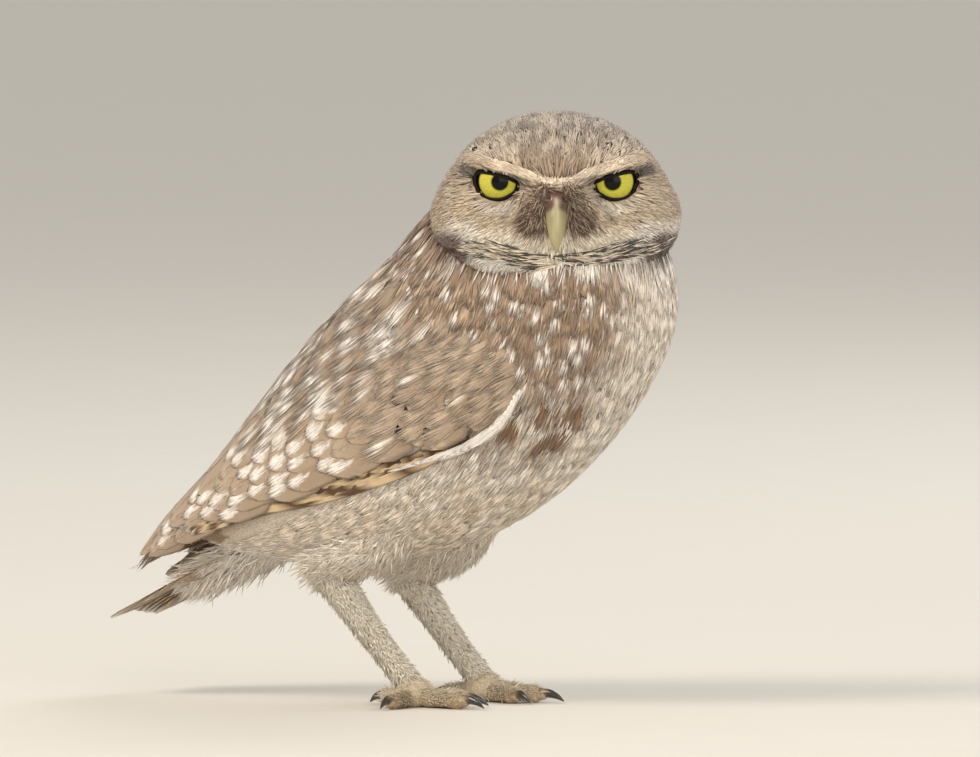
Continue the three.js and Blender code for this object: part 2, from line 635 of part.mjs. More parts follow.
// Builds every part and cuts each clear of the parts that it grows from
function owl() {
  const parts = new Map();
  const add = (name, solid, look) => parts.set(name, { solid: largest(solid), look });

  const body = wholeBody(0);
  const clearBody = wholeBody(GAP);
  const clearHead = headForm(GAP);
  const torso = without(body, aboveNeckCut(-GAP / 2), clearHead);
  const neck = without(body.intersect(aboveNeckCut(GAP / 2)), clearHead);

  const billUpper = without(billPiece(BILL_UPPER, 0), nostril(1), nostril(-1));
  const clearUpper = billPiece(BILL_UPPER, GAP);
  const billLower = without(billPiece(BILL_LOWER, 0), clearUpper);
  const head = without(
    joined([headForm(0), browRidge(1), browRidge(-1), eyeBall(1, LID_THICK), eyeBall(-1, LID_THICK)]),
    lidOpening(1), lidOpening(-1), eyeBall(1, GAP), eyeBall(-1, GAP),
    clearUpper, billPiece(BILL_LOWER, GAP),
  );

  const tail = without(tailForm(), clearBody);
  const clearTail = solidOf(alongLine(TAIL_BED, { sides: 14, steps: 6, grow: GAP }));
  const wing = without(wingForm(), clearBody, clearTail, clearHead);

  add("torso", torso, "plumage");
  add("neck", neck, "plumage");
  add("head", head, "plumage");
  add("eye_right", eyeBall(-1, 0), "eye");
  add("eye_left", eyeBall(1, 0), "eye");
  add("bill_upper", billUpper, "bill");
  add("bill_lower", billLower, "bill");
  add("wing_right", without(wing, thigh(LEGS.right, GAP)), "plumage");
  add("wing_left", without(mirrored(wing), thigh(LEGS.left, GAP)), "plumage");
  add("tail", tail, "plumage");

  for (const [name, leg] of Object.entries(LEGS)) {
    const claws = TOES.map((spec) => claw(leg, spec, GAP));
    add(`thigh_${name}`, without(thigh(leg, 0), clearBody), "pale");
    add(`tarsus_${name}`, without(tarsus(leg, 0), clearBody, thigh(leg, GAP), foot(leg, GAP)), "leg");
    add(`foot_${name}`, without(foot(leg, 0), ...claws), "toe");
    for (const spec of TOES) add(`claw_${name}_${spec.name}`, claw(leg, spec, 0), "claw");
  }
  return parts;
}

// A finished solid as a named mesh
function meshOf(name, { solid, look }) {
  const { vertProperties, triVerts } = solid.getMesh();
  const geometry = new THREE.BufferGeometry();
  geometry.setAttribute("position", new THREE.BufferAttribute(new Float32Array(vertProperties), 3));
  geometry.setIndex(new THREE.BufferAttribute(new Uint32Array(triVerts), 1));
  geometry.computeVertexNormals();
  const mesh = new THREE.Mesh(geometry, FINISHES[look]);
  mesh.name = name;
  return mesh;
}

const group = new THREE.Group();
for (const [name, part] of owl()) group.add(meshOf(name, part));

// The origin is under the middle of the whole owl, on the floor
const middle = new THREE.Box3().setFromObject(group).getCenter(point(0, 0, 0));
group.position.set(-middle.x, -middle.y, 0);

export default group;
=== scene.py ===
"""A burrowing owl as a life-size museum model: skin, plumage, eyes, bill, legs and claws.

Sizes are millimetres in the owl's own frame until a mesh is made, and metres from there on.
"""
import logging
import math
from collections.abc import Callable
from dataclasses import dataclass, field, replace
from enum import Enum
from functools import cached_property

import bpy
import numpy as np
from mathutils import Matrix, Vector
from mathutils.kdtree import KDTree


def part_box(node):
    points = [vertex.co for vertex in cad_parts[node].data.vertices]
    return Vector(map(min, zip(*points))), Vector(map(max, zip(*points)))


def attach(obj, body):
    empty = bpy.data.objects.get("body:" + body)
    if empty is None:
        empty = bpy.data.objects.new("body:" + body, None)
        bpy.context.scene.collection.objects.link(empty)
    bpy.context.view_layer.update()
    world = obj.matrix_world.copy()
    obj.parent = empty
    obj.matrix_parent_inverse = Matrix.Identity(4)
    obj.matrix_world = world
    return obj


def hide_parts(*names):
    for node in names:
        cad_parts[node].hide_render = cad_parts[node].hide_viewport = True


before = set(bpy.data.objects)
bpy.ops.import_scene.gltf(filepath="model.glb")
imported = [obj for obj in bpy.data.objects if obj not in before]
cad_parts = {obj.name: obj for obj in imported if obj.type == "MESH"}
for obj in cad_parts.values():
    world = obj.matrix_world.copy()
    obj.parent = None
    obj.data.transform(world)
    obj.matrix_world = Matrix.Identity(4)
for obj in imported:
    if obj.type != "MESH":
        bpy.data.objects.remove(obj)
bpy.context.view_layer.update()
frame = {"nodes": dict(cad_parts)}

MM = 0.001
BODY = "root"
# Half a feather's patch on the unwrapped skin
PATCH = 0.0015
# The turn from one seed to the next in a sunflower's head, in radians
GOLDEN_TURN = 2.399963

Array = np.ndarray
Number = float | Array
Rng = np.random.Generator
Piece = bpy.types.Object
Mesh = bpy.types.Mesh
Material = bpy.types.Material
Socket = bpy.types.NodeSocket
Paint = Callable[[Array, Array, Array, Array], Array]
Flow = Callable[[Array], Array]

logging.basicConfig(level=logging.INFO, format="%(message)s")
log = logging.getLogger("owl")


# ---------------------------------------------------------------- numbers


def srgb(code: str) -> Array:
    """The linear red, green and blue of an sRGB hex colour."""
    value = np.array([int(code[i:i + 2], 16) for i in (1, 3, 5)]) / 255.0
    return np.where(value <= 0.04045, value / 12.92, ((value + 0.055) / 1.055) ** 2.4)


def lerp(a: Number, b: Number, t: Number) -> Number:
    """The value a share t of the way from a to b."""
    return a + (b - a) * t


def smoothstep(x: Number, low: float, high: float) -> Number:
    """0 below low, 1 above high and a smooth rise between."""
    t = np.clip((x - low) / (high - low), 0.0, 1.0)
    return t * t * (3.0 - 2.0 * t)


def bell(x: Number, middle: float, reach: float) -> Number:
    """1 at the middle, falling smoothly to nothing a few reaches away."""
    return np.exp(-(((x - middle) / reach) ** 2))


def unit(v: Array) -> Array:
    """Vectors cut to length 1."""
    return v / np.maximum(np.linalg.norm(v, axis=-1, keepdims=True), 1e-9)


def from_spine(around: Array) -> Array:
    """The turn from the spine line to either side, from 0 at the spine to pi at the belly line."""
    return np.abs((around + np.pi) % (2 * np.pi) - np.pi)


def squarish(x: Array, power: float) -> Array:
    """A sine or cosine drawn out, so that a ring of them is rounder or squarer than a circle."""
    return np.sign(x) * np.abs(x) ** (2 / power)


def run_along(line: Array) -> Array:
    """The distance along a line of points from its first to each."""
    return np.append(0, np.cumsum(np.linalg.norm(np.diff(line, axis=0), axis=1)))


def sunflower(count: int) -> Array:
    """Evenly spread directions over a whole ball.

    Args:
        count: How many.

    Returns:
        The directions.
    """
    index = np.arange(count) + 0.5
    x = 1 - 2 * index / count
    turn = index * GOLDEN_TURN
    return np.stack([x, np.sqrt(1 - x * x) * np.cos(turn), np.sqrt(1 - x * x) * np.sin(turn)], -1)


def sphere_grid(theta: Array, phi: Array) -> Array:
    """Directions by the angle from straight ahead and the turn about it."""
    return np.stack([np.cos(theta) + 0 * phi, np.sin(theta) * np.cos(phi), np.sin(theta) * np.sin(phi)], -1)


def smooth_at(values: tuple | Array, t: Number) -> Array:
    """Values on a smooth line through rows set one unit apart, straight past its ends.

    Args:
        values: One row of numbers for each stop.
        t: Where to read, in stops from the first.

    Returns:
        A row of numbers for each t.
    """
    rows = np.asarray(values, float).reshape(len(values), -1)
    rows = np.vstack([2 * rows[0] - rows[1], rows, 2 * rows[-1] - rows[-2]])
    t = np.asarray(t, float)
    i = np.clip(np.floor(t), 0, len(values) - 2).astype(int)
    f = (t - i)[..., None]
    a, b, c, d = (rows[i + k] for k in range(4))
    g = np.clip(f, 0.0, 1.0)
    inner = b + 0.5 * g * (c - a + g * (2 * a - 5 * b + 4 * c - d + g * (3 * (b - c) + d - a)))
    return inner + np.minimum(f, 0) * (c - b) + np.maximum(f - 1, 0) * (c - b)


def noise(points: Array, size: Number | tuple, seed: int = 0) -> Array:
    """A smooth random value from 0 to 1 at each point.

    Args:
        points: Places in millimetres.
        size: The width of the patches, one number or three.
        seed: A number that gives another pattern.

    Returns:
        One value for each point.
    """
    p = points / np.asarray(size, float) + 7.31 * seed
    cell = np.floor(p).astype(np.int64)
    f = p - cell
    f = f * f * (3 - 2 * f)
    total = np.zeros(p.shape[:-1])
    for corner in range(8):
        step = np.array([corner & 1, corner >> 1 & 1, corner >> 2 & 1])
        c = cell + step
        h = (c[..., 0] * 374761393 + c[..., 1] * 668265263 + c[..., 2] * 1442695041) & 0xFFFFFFFF
        h = ((h ^ (h >> 13)) * 1274126177) & 0xFFFFFFFF
        h = ((h ^ (h >> 16)) & 0xFFFF) / 65535.0
        total += h * np.prod(np.where(step, f, 1 - f), axis=-1)
    return total


def mix(a: Array, b: Array, share: Number) -> Array:
    """Colours a share of the way from a to b, for a share with one value for each."""
    return a + (b - a) * np.asarray(share)[..., None]


# ---------------------------------------------------------------- finishes


class Nodes:
    """A node tree, with what adds nodes to it and feeds them."""

    def __init__(self, tree: bpy.types.NodeTree) -> None:
        """Takes the tree."""
        self.tree = tree

    def add(self, kind: str, settings: dict | None = None, **links: object) -> bpy.types.Node:
        """Adds a node.

        Args:
            kind: The node's type.
            settings: Properties of the node itself.
            links: Inputs by name, each a value or another node's output.

        Returns:
            The node.
        """
        node = self.tree.nodes.new(kind)
        for key, value in (settings or {}).items():
            setattr(node, key, value)
        self.feed(node, **links)
        return node

    def feed(self, node: bpy.types.Node, **links: object) -> None:
        """Sets or links a node's inputs.

        Args:
            node: The node.
            links: Values or outputs by the input's name with underscores for spaces, or by i and its number.
        """
        for key, value in links.items():
            place = int(key[1:]) if key[0] == "i" and key[1:].isdigit() else key.replace("_", " ")
            socket = node.inputs[place]
            if isinstance(value, Socket):
                self.tree.links.new(value, socket)
            else:
                socket.default_value = value


class Finish(Nodes):
    """A new material's nodes round its shader."""

    def __init__(self, name: str) -> None:
        """Starts a material with its shader and nothing else."""
        self.material = bpy.data.materials.new(name)
        self.material.use_nodes = True
        super().__init__(self.material.node_tree)

    def painted(self, name: str, output: str) -> Socket:
        """What is painted on the mesh under a name."""
        return self.add("ShaderNodeAttribute", {"attribute_name": name}).outputs[output]

    def parts(self, vector: Socket) -> tuple:
        """A vector's three numbers."""
        return tuple(self.add("ShaderNodeSeparateXYZ", Vector=vector).outputs)

    def reckoned(self, operation: str, *values: object) -> Socket:
        """The result of an operation on numbers."""
        given = {f"i{k}": value for k, value in enumerate(values)}
        return self.add("ShaderNodeMath", {"operation": operation}, **given).outputs[0]

    def spread(self, value: Socket, start: tuple, end: tuple, kind: str = "LINEAR") -> Socket:
        """A value moved from one range to another.

        Args:
            value: The value.
            start: The range that it is read in.
            end: The range that it is given in.
            kind: How it runs between the ends.

        Returns:
            The moved value.
        """
        return self.add("ShaderNodeMapRange", {"interpolation_type": kind}, Value=value, From_Min=start[0],
                        From_Max=start[1], To_Min=end[0], To_Max=end[1]).outputs[0]

    def place(self) -> Socket:
        """The place on the object, in metres."""
        return self.add("ShaderNodeTexCoord").outputs["Object"]

    def cloud(self, place: Socket, scale: float, detail: float = 2.0) -> Socket:
        """Smooth noise over a place."""
        return self.add("ShaderNodeTexNoise", Vector=place, Scale=scale, Detail=detail).outputs["Fac"]

    def scaled(self, colour: object, by: Socket) -> Socket:
        """A colour made lighter or darker."""
        return self.add("ShaderNodeVectorMath", {"operation": "SCALE"}, Vector=colour, Scale=by).outputs[0]

    def stretched(self, place: Socket, by: tuple) -> Socket:
        """A place stretched along its three ways."""
        return self.add("ShaderNodeVectorMath", {"operation": "MULTIPLY"}, i0=place, i1=by).outputs[0]

    def blend(self, share: Socket, first: object, second: object) -> Socket:
        """A colour between two others."""
        return self.add("ShaderNodeMixRGB", Fac=share, Color1=first, Color2=second).outputs[0]

    def relief(self, height: Socket, strength: float, depth: float = 0.0002, sunk: bool = False) -> Socket:
        """A surface's way out, bent by a fine relief.

        Args:
            height: The relief's height.
            strength: How much of it shows.
            depth: How deep it is, in metres.
            sunk: Whether the height counts inwards.

        Returns:
            The bent way.
        """
        return self.add("ShaderNodeBump", {"invert": sunk}, Strength=strength, Distance=depth,
                        Height=height).outputs[0]

    def shaded(self, **inputs: object) -> Material:
        """Feeds the shader and gives the material."""
        self.feed(self.tree.nodes["Principled BSDF"], **inputs)
        return self.material


def rgba(code: str) -> tuple:
    """A hex colour as the four numbers that a socket takes."""
    return (*srgb(code), 1.0)


@dataclass(frozen=True)
class Plumage:
    """Feather keratin, grown as vanes of barbs: matt, with a faint velvet sheen and fine slanting lines."""

    name: str
    roughness: float = 0.78
    sheen: float = 0.22
    # Real barbs lie about 0.3 mm apart, too fine for the render, so they are drawn 0.75 mm apart
    barb_pitch: float = 0.75
    barb_depth: float = 0.35
    slant: float = -1.1
    shaft: float = 0.16
    # How far the shaft's shade reaches to each side, in millimetres
    shaft_reach: tuple = (0.1, 0.26)

    def build(self) -> Material:
        """Makes the material: the tint painted on each feather, lined by its barbs and shaft.

        Returns:
            The material.
        """
        t = Finish(self.name)
        vane = t.painted("vane", "Vector")
        along, across, one = t.parts(vane)
        aside = t.reckoned("ABSOLUTE", across)
        slant = t.reckoned("MULTIPLY_ADD", aside, self.slant, along)
        shifted = t.reckoned("MULTIPLY_ADD", t.cloud(vane, 0.9), 1.1, slant)
        wave = t.reckoned("SINE", t.reckoned("MULTIPLY", shifted, 2 * math.pi / self.barb_pitch))
        dark = t.spread(aside, self.shaft_reach, (1.0 - self.shaft, 1.0))
        lined = t.reckoned("MULTIPLY", t.spread(wave, (-1.0, 1.0), (0.86, 1.06)), dark)
        whole = t.reckoned("MULTIPLY", lined, t.spread(one, (0.0, 1.0), (0.93, 1.07)))
        return t.shaded(Base_Color=t.scaled(t.painted("tint", "Color"), whole),
                        Normal=t.relief(wave, self.barb_depth), Roughness=self.roughness,
                        Sheen_Weight=self.sheen, Sheen_Roughness=0.6, IOR=1.54, Specular_IOR_Level=0.25)


@dataclass(frozen=True)
class Down:
    """Down and hair-like barbs, soft and loose: matt, with the velvet sheen of fine fibres."""

    name: str
    roughness: float = 0.88
    sheen: float = 0.3
    # Tufts of down are a millimetre or two across
    tufts: float = 650.0

    def build(self) -> Material:
        """Makes the material from the tint painted on each barb, uneven over a few millimetres.

        Returns:
            The material.
        """
        t = Finish(self.name)
        vary = t.spread(t.cloud(t.place(), self.tufts, 3.0), (0.3, 0.7), (0.88, 1.1))
        return t.shaded(Base_Color=t.scaled(t.painted("tint", "Color"), vary), Roughness=self.roughness,
                        Sheen_Weight=self.sheen, Sheen_Roughness=0.7, IOR=1.54, Specular_IOR_Level=0.2)


@dataclass(frozen=True)
class Hide:
    """Bare or thinly covered bird skin, dry and finely pebbled: matt with a slight shine on its folds."""

    name: str
    roughness: float = 0.6
    # The pebbles of the skin are about 0.6 mm across
    pebble: float = 1600.0
    depth: float = 0.5
    shine: float = 0.5

    def build(self) -> Material:
        """Makes the material: the painted tint under a pebbled relief, with painted shade darkening the tint
        between the pebbles.

        Returns:
            The material.
        """
        t = Finish(self.name)
        cells = t.add("ShaderNodeTexVoronoi", {"feature": "F1"}, Vector=t.place(),
                      Scale=self.pebble).outputs["Distance"]
        # Painted shade: the tint darkens away from each pebble's middle, in the crevices between pebbles
        vary = t.spread(cells, (0.1, 0.75), (1.1, 0.72))
        return t.shaded(Base_Color=t.scaled(t.painted("tint", "Color"), vary),
                        Normal=t.relief(cells, self.depth, 0.0003, sunk=True), Roughness=self.roughness,
                        IOR=1.5, Specular_IOR_Level=self.shine)


@dataclass(frozen=True)
class Horn:
    """Keratin horn, grown in layers and worn smooth: waxy, with a soft highlight and lengthwise streaks."""

    name: str
    roughness: float = 0.34
    coat: float = 0.25
    glow: float = 0.0
    # Growth streaks are about half a millimetre apart and many times longer
    streaks: tuple = (900.0, 900.0, 160.0)

    def build(self) -> Material:
        """Makes the material: the painted tint with fine growth streaks in colour and relief.

        Returns:
            The material.
        """
        t = Finish(self.name)
        grain = t.cloud(t.stretched(t.place(), self.streaks), 1.0, 3.0)
        vary = t.spread(grain, (0.3, 0.7), (0.88, 1.08))
        return t.shaded(Base_Color=t.scaled(t.painted("tint", "Color"), vary), Normal=t.relief(grain, 0.12),
                        Roughness=self.roughness, IOR=1.55, Coat_Weight=self.coat, Coat_Roughness=0.2,
                        Subsurface_Weight=self.glow)


@dataclass(frozen=True)
class WetEye:
    """A glass-clear cornea over a coloured iris, kept wet: a hard, mirror-bright highlight on top."""

    name: str
    iris: str = "#dcd85a"
    iris_deep: str = "#a9a136"
    rim: str = "#15100a"
    pupil_edge: str = "#8f8a1c"
    pupil: str = "#030303"
    pupil_radius: float = 2.65
    iris_radius: float = 6.15

    def build(self) -> Material:
        """Makes the material: pupil, iris fibres and dark rim, by the distance from the eye's axis.

        Returns:
            The material.
        """
        t = Finish(self.name)
        radius, angle, pupil = t.parts(t.painted("vane", "Vector"))
        turned = t.add("ShaderNodeCombineXYZ", X=radius, Y=angle).outputs[0]
        # Iris fibres run outwards, about a third of a millimetre apart
        fibres = t.cloud(t.stretched(turned, (0.55, 9.0, 1.0)), 1.0, 4.0)
        yellow = t.blend(fibres, rgba(self.iris), rgba(self.iris_deep))
        whole, black, clear = (0.0, 1.0), self.pupil_radius, self.iris_radius
        ramp = t.spread(pupil, (black, black + 0.7), whole, "SMOOTHSTEP")
        edge = t.spread(radius, (clear - 0.6, clear), whole, "SMOOTHSTEP")
        hole = t.spread(pupil, (black - 0.12, black + 0.12), whole, "SMOOTHSTEP")
        rimmed = t.blend(edge, t.blend(ramp, rgba(self.pupil_edge), yellow), rgba(self.rim))
        return t.shaded(Base_Color=t.blend(hole, rgba(self.pupil), rimmed), Roughness=0.4, IOR=1.38,
                        Specular_IOR_Level=0.05, Coat_Weight=0.5, Coat_Roughness=0.02, Coat_IOR=1.38)


@dataclass(frozen=True)
class PaleBoard:
    """Painted board, rolled matt: an even, pale surface with no shine."""

    name: str
    colour: str = "#dedad2"

    def build(self) -> Material:
        """Makes the material, faintly uneven as rolled paint is."""
        t = Finish(self.name)
        tone = t.spread(t.cloud(t.place(), 40.0), (0.0, 1.0), (0.97, 1.0))
        return t.shaded(Base_Color=t.scaled(tuple(srgb(self.colour)), tone), Roughness=0.9)


@dataclass
class Colours:
    """The owl's colours, given as sRGB and kept as linear light."""

    crown: str = "#ab9279"
    crown_dark: str = "#755f4d"
    crown_light: str = "#f2e1c8"
    crown_grey: str = "#a09487"
    brow: str = "#f0dfc5"
    disc: str = "#c9b59a"
    disc_dark: str = "#957a5e"
    lore: str = "#e2cfae"
    bristle: str = "#5a2f18"
    cheek: str = "#eee2ce"
    cheek_white: str = "#f6f0e8"
    collar: str = "#241708"
    throat: str = "#f6f0e6"
    neck: str = "#52301a"
    nape: str = "#7d5f47"
    breast: str = "#a98c70"
    breast_dark: str = "#7a5b40"
    white: str = "#fbf6ee"
    belly: str = "#f2dfc6"
    bar: str = "#855c2a"
    mantle: str = "#ad927a"
    mantle_dark: str = "#84694f"
    wing: str = "#c8b39b"
    wing_dark: str = "#9a8269"
    wing_buff: str = "#e2cba8"
    spot: str = "#f7f1ea"
    quill_dark: str = "#6a4825"
    quill_buff: str = "#dcc19a"
    leg: str = "#fbf5e8"
    leg_shade: str = "#e4d9c2"
    toe: str = "#ccb899"
    toe_dark: str = "#957f62"
    claw: str = "#2a211a"
    bill: str = "#afa67c"
    # Painted shade on the bill's sides and hook, darker than the ridge
    bill_side: str = "#8a7f58"
    cere: str = "#573a2d"
    lid: str = "#1a120c"
    skin: str = "#9c7c62"

    def __post_init__(self) -> None:
        """Turns every colour into linear light."""
        for name, code in list(vars(self).items()):
            setattr(self, name, srgb(code))


C = Colours()


# ---------------------------------------------------------------- forms


class Side(Enum):
    """The owl's two sides, as the sign of Y."""

    RIGHT = -1
    LEFT = 1

    @property
    def word(self) -> str:
        """The side's name in a piece."""
        return self.name.lower()


@dataclass(frozen=True)
class CoatForm:
    """A rounded form by stations: its back line, its front line, half its breadth and how square it is."""

    back: tuple
    front: tuple
    half: tuple
    power: float = 2.25
    side: int = -1

    @property
    def last(self) -> int:
        """The last station."""
        return len(self.half) - 1

    def place(self, station: Array, around: Array, rise: Number = 0.0) -> Array:
        """Points over the form.

        Args:
            station: Where along the form.
            around: The turn from the spine line over the side to the belly line.
            rise: How far outside the form.

        Returns:
            The points, in millimetres.
        """
        back, front = smooth_at(self.back, station), smooth_at(self.front, station)
        half = smooth_at(self.half, station)[..., 0]
        centre, depth = (back + front) / 2, (back - front) / 2
        length = np.linalg.norm(depth, axis=-1)
        depth = depth * ((length + rise) / np.maximum(length, 1e-6))[..., None]
        reach = squarish(np.cos(around), self.power)
        return np.stack([centre[..., 0] + depth[..., 0] * reach,
                         self.side * (half + rise) * squarish(np.sin(around), self.power),
                         centre[..., 1] + depth[..., 1] * reach], axis=-1)


BODY_FORM = CoatForm(
    back=((12, 172), (-3, 157), (-19, 138), (-34, 123), (-47, 109), (-58.5, 96), (-68, 84.5), (-75.5, 74.5),
          (-81, 66.5), (-84.5, 60.5), (-86, 56), (-85, 52.5), (-82, 50.5)),
    front=((64, 172), (77, 153), (81, 136), (79, 120), (71, 103.5), (58.5, 86.5), (41, 69.8), (19, 56),
           (-5, 48), (-28, 44.8), (-50, 44.5), (-64, 46.5), (-72, 48)),
    half=(19, 28, 36, 39.5, 40, 39, 37, 34, 30, 25, 19, 12, 5),
)
WING_FORM = CoatForm(
    back=((12, 172), (-5, 159), (-22, 141), (-37.5, 125.5), (-50.5, 111.5), (-62, 98.5), (-72, 86.5),
          (-80.5, 76.5), (-88.5, 68), (-95.5, 60.5), (-101.5, 53.5), (-107, 47)),
    front=((64, 172), (80, 155), (85, 138), (83, 120), (74, 104), (60, 86.5), (41, 71), (19, 59), (-5, 51),
           (-33, 46), (-60, 43), (-86, 41.5)),
    half=(22, 32, 38.5, 42, 43, 42, 40.5, 37.5, 33.5, 28.5, 22, 14.5),
)


@dataclass(frozen=True)
class HeadForm:
    """The head about its own axes, forward, to the owl's left and up: a face front and a domed back.

    It is read as a distance from its middle in each direction, from a table made once.
    """

    centre: tuple = (45.2, -6.7, 162.2)
    turn: float = math.radians(-63)
    front: float = 29.0
    back: float = 36.0
    side: float = 39.7
    up: float = 32.9
    narrowing: float = 2.4
    down: float = 26.5
    level: float = -3.0
    face: float = 25.2
    hollow: float = 4.2
    eye: tuple = (14.5, 18.3, 8.3)
    lid_radius: float = 10.2
    rows: int = 181
    columns: int = 361

    def design(self, p: Array) -> Array:
        """Points or places in the head's axes as places in the owl."""
        c, s = math.cos(self.turn), math.sin(self.turn)
        x, y, z = p[..., 0], p[..., 1], p[..., 2]
        return np.stack([c * x - s * y, s * x + c * y, z], axis=-1) + np.array(self.centre)

    def local(self, p: Array) -> Array:
        """Places in the owl as places in the head's axes."""
        c, s = math.cos(self.turn), math.sin(self.turn)
        d = p - np.array(self.centre)
        return np.stack([c * d[..., 0] + s * d[..., 1], -s * d[..., 0] + c * d[..., 1], d[..., 2]], axis=-1)

    @property
    def middle(self) -> Array:
        """The place that the distances start from."""
        return np.array([0.0, 0.0, self.level])

    def face_forward(self, y: Array, z: Array) -> Array:
        """How far forward the face lies at a place of the front view.

        Args:
            y: How far to the side.
            z: The height.

        Returns:
            How far forward, in millimetres.
        """
        to_eye = np.hypot(np.abs(y) - self.eye[1], z - self.eye[2])
        over_brow = smoothstep(z - 5 - 0.38 * np.abs(y), 0, 5)
        bridge = 2.6 * np.exp(-((y / 4.6) ** 2)) * smoothstep(z, -14, -2)
        return self.face - self.hollow * (1 - over_brow) * np.exp(-((to_eye / 11) ** 2)) + bridge

    def holds(self, p: Array) -> Array:
        """Whether each place lies inside the plain head.

        Args:
            p: Places in the head's axes.

        Returns:
            True or false for each.
        """
        x, y, z = p[..., 0], p[..., 1], p[..., 2]
        v = (z - self.level) / np.where(z > self.level, self.up, self.down)
        side = self.side - self.narrowing * smoothstep(z, -5, 15)
        spread = np.hypot(y / side, v)
        inside = np.clip(1 - spread ** 3, 0, 1)
        dome = self.front * np.sqrt(inside)
        face = self.face_forward(y, z)
        blend = np.clip(0.5 + 0.5 * (face - dome) / 2.2, 0, 1)
        lower = lerp(face, dome, blend) - 2.2 * blend * (1 - blend)
        angle = np.arctan2(v, y / side)
        rim = 1.3 * bell(spread, 0.86, 0.07) * smoothstep(-np.sin(angle), -0.6, 0.1)
        hind = -self.back * np.sqrt(np.clip(1 - spread ** 2, 0, 1))
        return (spread < 1) & (x < lower + rim) & (x > hind)

    @cached_property
    def table(self) -> Array:
        """The distance to the surface by the angle from straight ahead and the turn about it.

        Returns:
            Rows by the angle, columns by the turn.
        """
        theta = np.linspace(0, np.pi, self.rows)[:, None]
        phi = np.linspace(0, 2 * np.pi, self.columns)[None, :]
        way = sphere_grid(theta, phi)
        low, high = np.zeros(way.shape[:2]), np.full(way.shape[:2], 70.0)
        for _ in range(30):
            mid = (low + high) / 2
            inside = self.holds(self.middle + way * mid[..., None])
            low, high = np.where(inside, mid, low), np.where(inside, high, mid)
        reach = low
        for sign in (-1, 1):
            eye = np.array([self.eye[0], sign * self.eye[1], self.eye[2]]) - self.middle
            along = way @ eye
            gap = self.lid_radius ** 2 - (eye @ eye - along ** 2)
            ball = np.where(gap > 0, along + np.sqrt(np.maximum(gap, 0)), 0)
            blend = np.clip(0.5 + 0.5 * (ball - reach) / 1.6, 0, 1)
            reach = lerp(reach, ball, blend) + 1.6 * blend * (1 - blend) * (ball > 0)
        p = self.middle + way * reach[..., None]
        reach = (reach + 2.0 * bell(p[..., 2], brow_height(p[..., 1]) - 1.2, 2.6)
                 * smoothstep(p[..., 0], 6, 16))
        for _ in range(2):
            reach[1:-1] = (reach[:-2] + 2 * reach[1:-1] + reach[2:]) / 4
            ring = reach[:, :-1]
            ring = (np.roll(ring, 1, 1) + 2 * ring + np.roll(ring, -1, 1)) / 4
            reach = np.hstack([ring, ring[:, :1]])
        return reach

    def radius(self, way: Array) -> Array:
        """The distance from the middle to the surface in each direction.

        Args:
            way: Directions from the head's middle.

        Returns:
            The distances.
        """
        theta = np.arccos(np.clip(way[..., 0], -1, 1)) / np.pi * (self.rows - 1)
        phi = (np.arctan2(way[..., 2], way[..., 1]) % (2 * np.pi)) / (2 * np.pi) * (self.columns - 1)
        i = np.clip(theta.astype(int), 0, self.rows - 2)
        j = np.clip(phi.astype(int), 0, self.columns - 2)
        f, g = theta - i, phi - j
        t = self.table
        return (t[i, j] * (1 - f) * (1 - g) + t[i + 1, j] * f * (1 - g) + t[i, j + 1] * (1 - f) * g
                + t[i + 1, j + 1] * f * g)

    def place(self, way: Array, rise: Number = 0.0) -> Array:
        """Points over the head in its own axes, in the given directions."""
        return self.middle + way * (self.radius(way) + rise)[..., None]


def collar_height(aside: Array) -> Array:
    """The height of the dark collar line under the face, by the distance from the bill."""
    return -18.4 + 5.2 * (1 - np.exp(-((aside / 15) ** 2)))


def brow_height(aside: Array) -> Array:
    """The height of the pale brow line over the face, by the distance from the bill."""
    return np.interp(np.abs(aside), (0, 4, 8.5, 17, 24, 30), (8.2, 8.6, 10.1, 13.3, 15.3, 16.0))


HEAD = HeadForm()


# ---------------------------------------------------------------- joined small shapes


@dataclass
class Roots:
    """Where small shapes grow: places with three ways each, along the lie, across it and out."""

    at: Array
    along: Array
    out: Array
    patch: Array
    aside: Array | None = None

    def __post_init__(self) -> None:
        """Squares the three ways to each other."""
        self.out = unit(self.out)
        self.along = unit(self.along - self.out * np.sum(self.along * self.out, -1, keepdims=True))
        self.aside = np.cross(self.out, self.along)

    def __len__(self) -> int:
        """How many roots there are."""
        return len(self.at)

    def put(self, local: Array) -> Array:
        """Places in the owl for places by each root's own ways."""
        u, v, w = (local[..., k, None] for k in range(3))
        return self.at[:, None] + self.along[:, None] * u + self.aside[:, None] * v + self.out[:, None] * w

    def chosen(self, pick: Array) -> "Roots":
        """Only some of the roots, or each many times."""
        return Roots(self.at[pick], self.along[pick], self.out[pick], self.patch[pick])

    def turned(self, angle: Array) -> "Roots":
        """The same roots with the lie turned in the surface."""
        c, s = np.cos(angle)[:, None], np.sin(angle)[:, None]
        return replace(self, along=self.along * c + self.aside * s, aside=None)


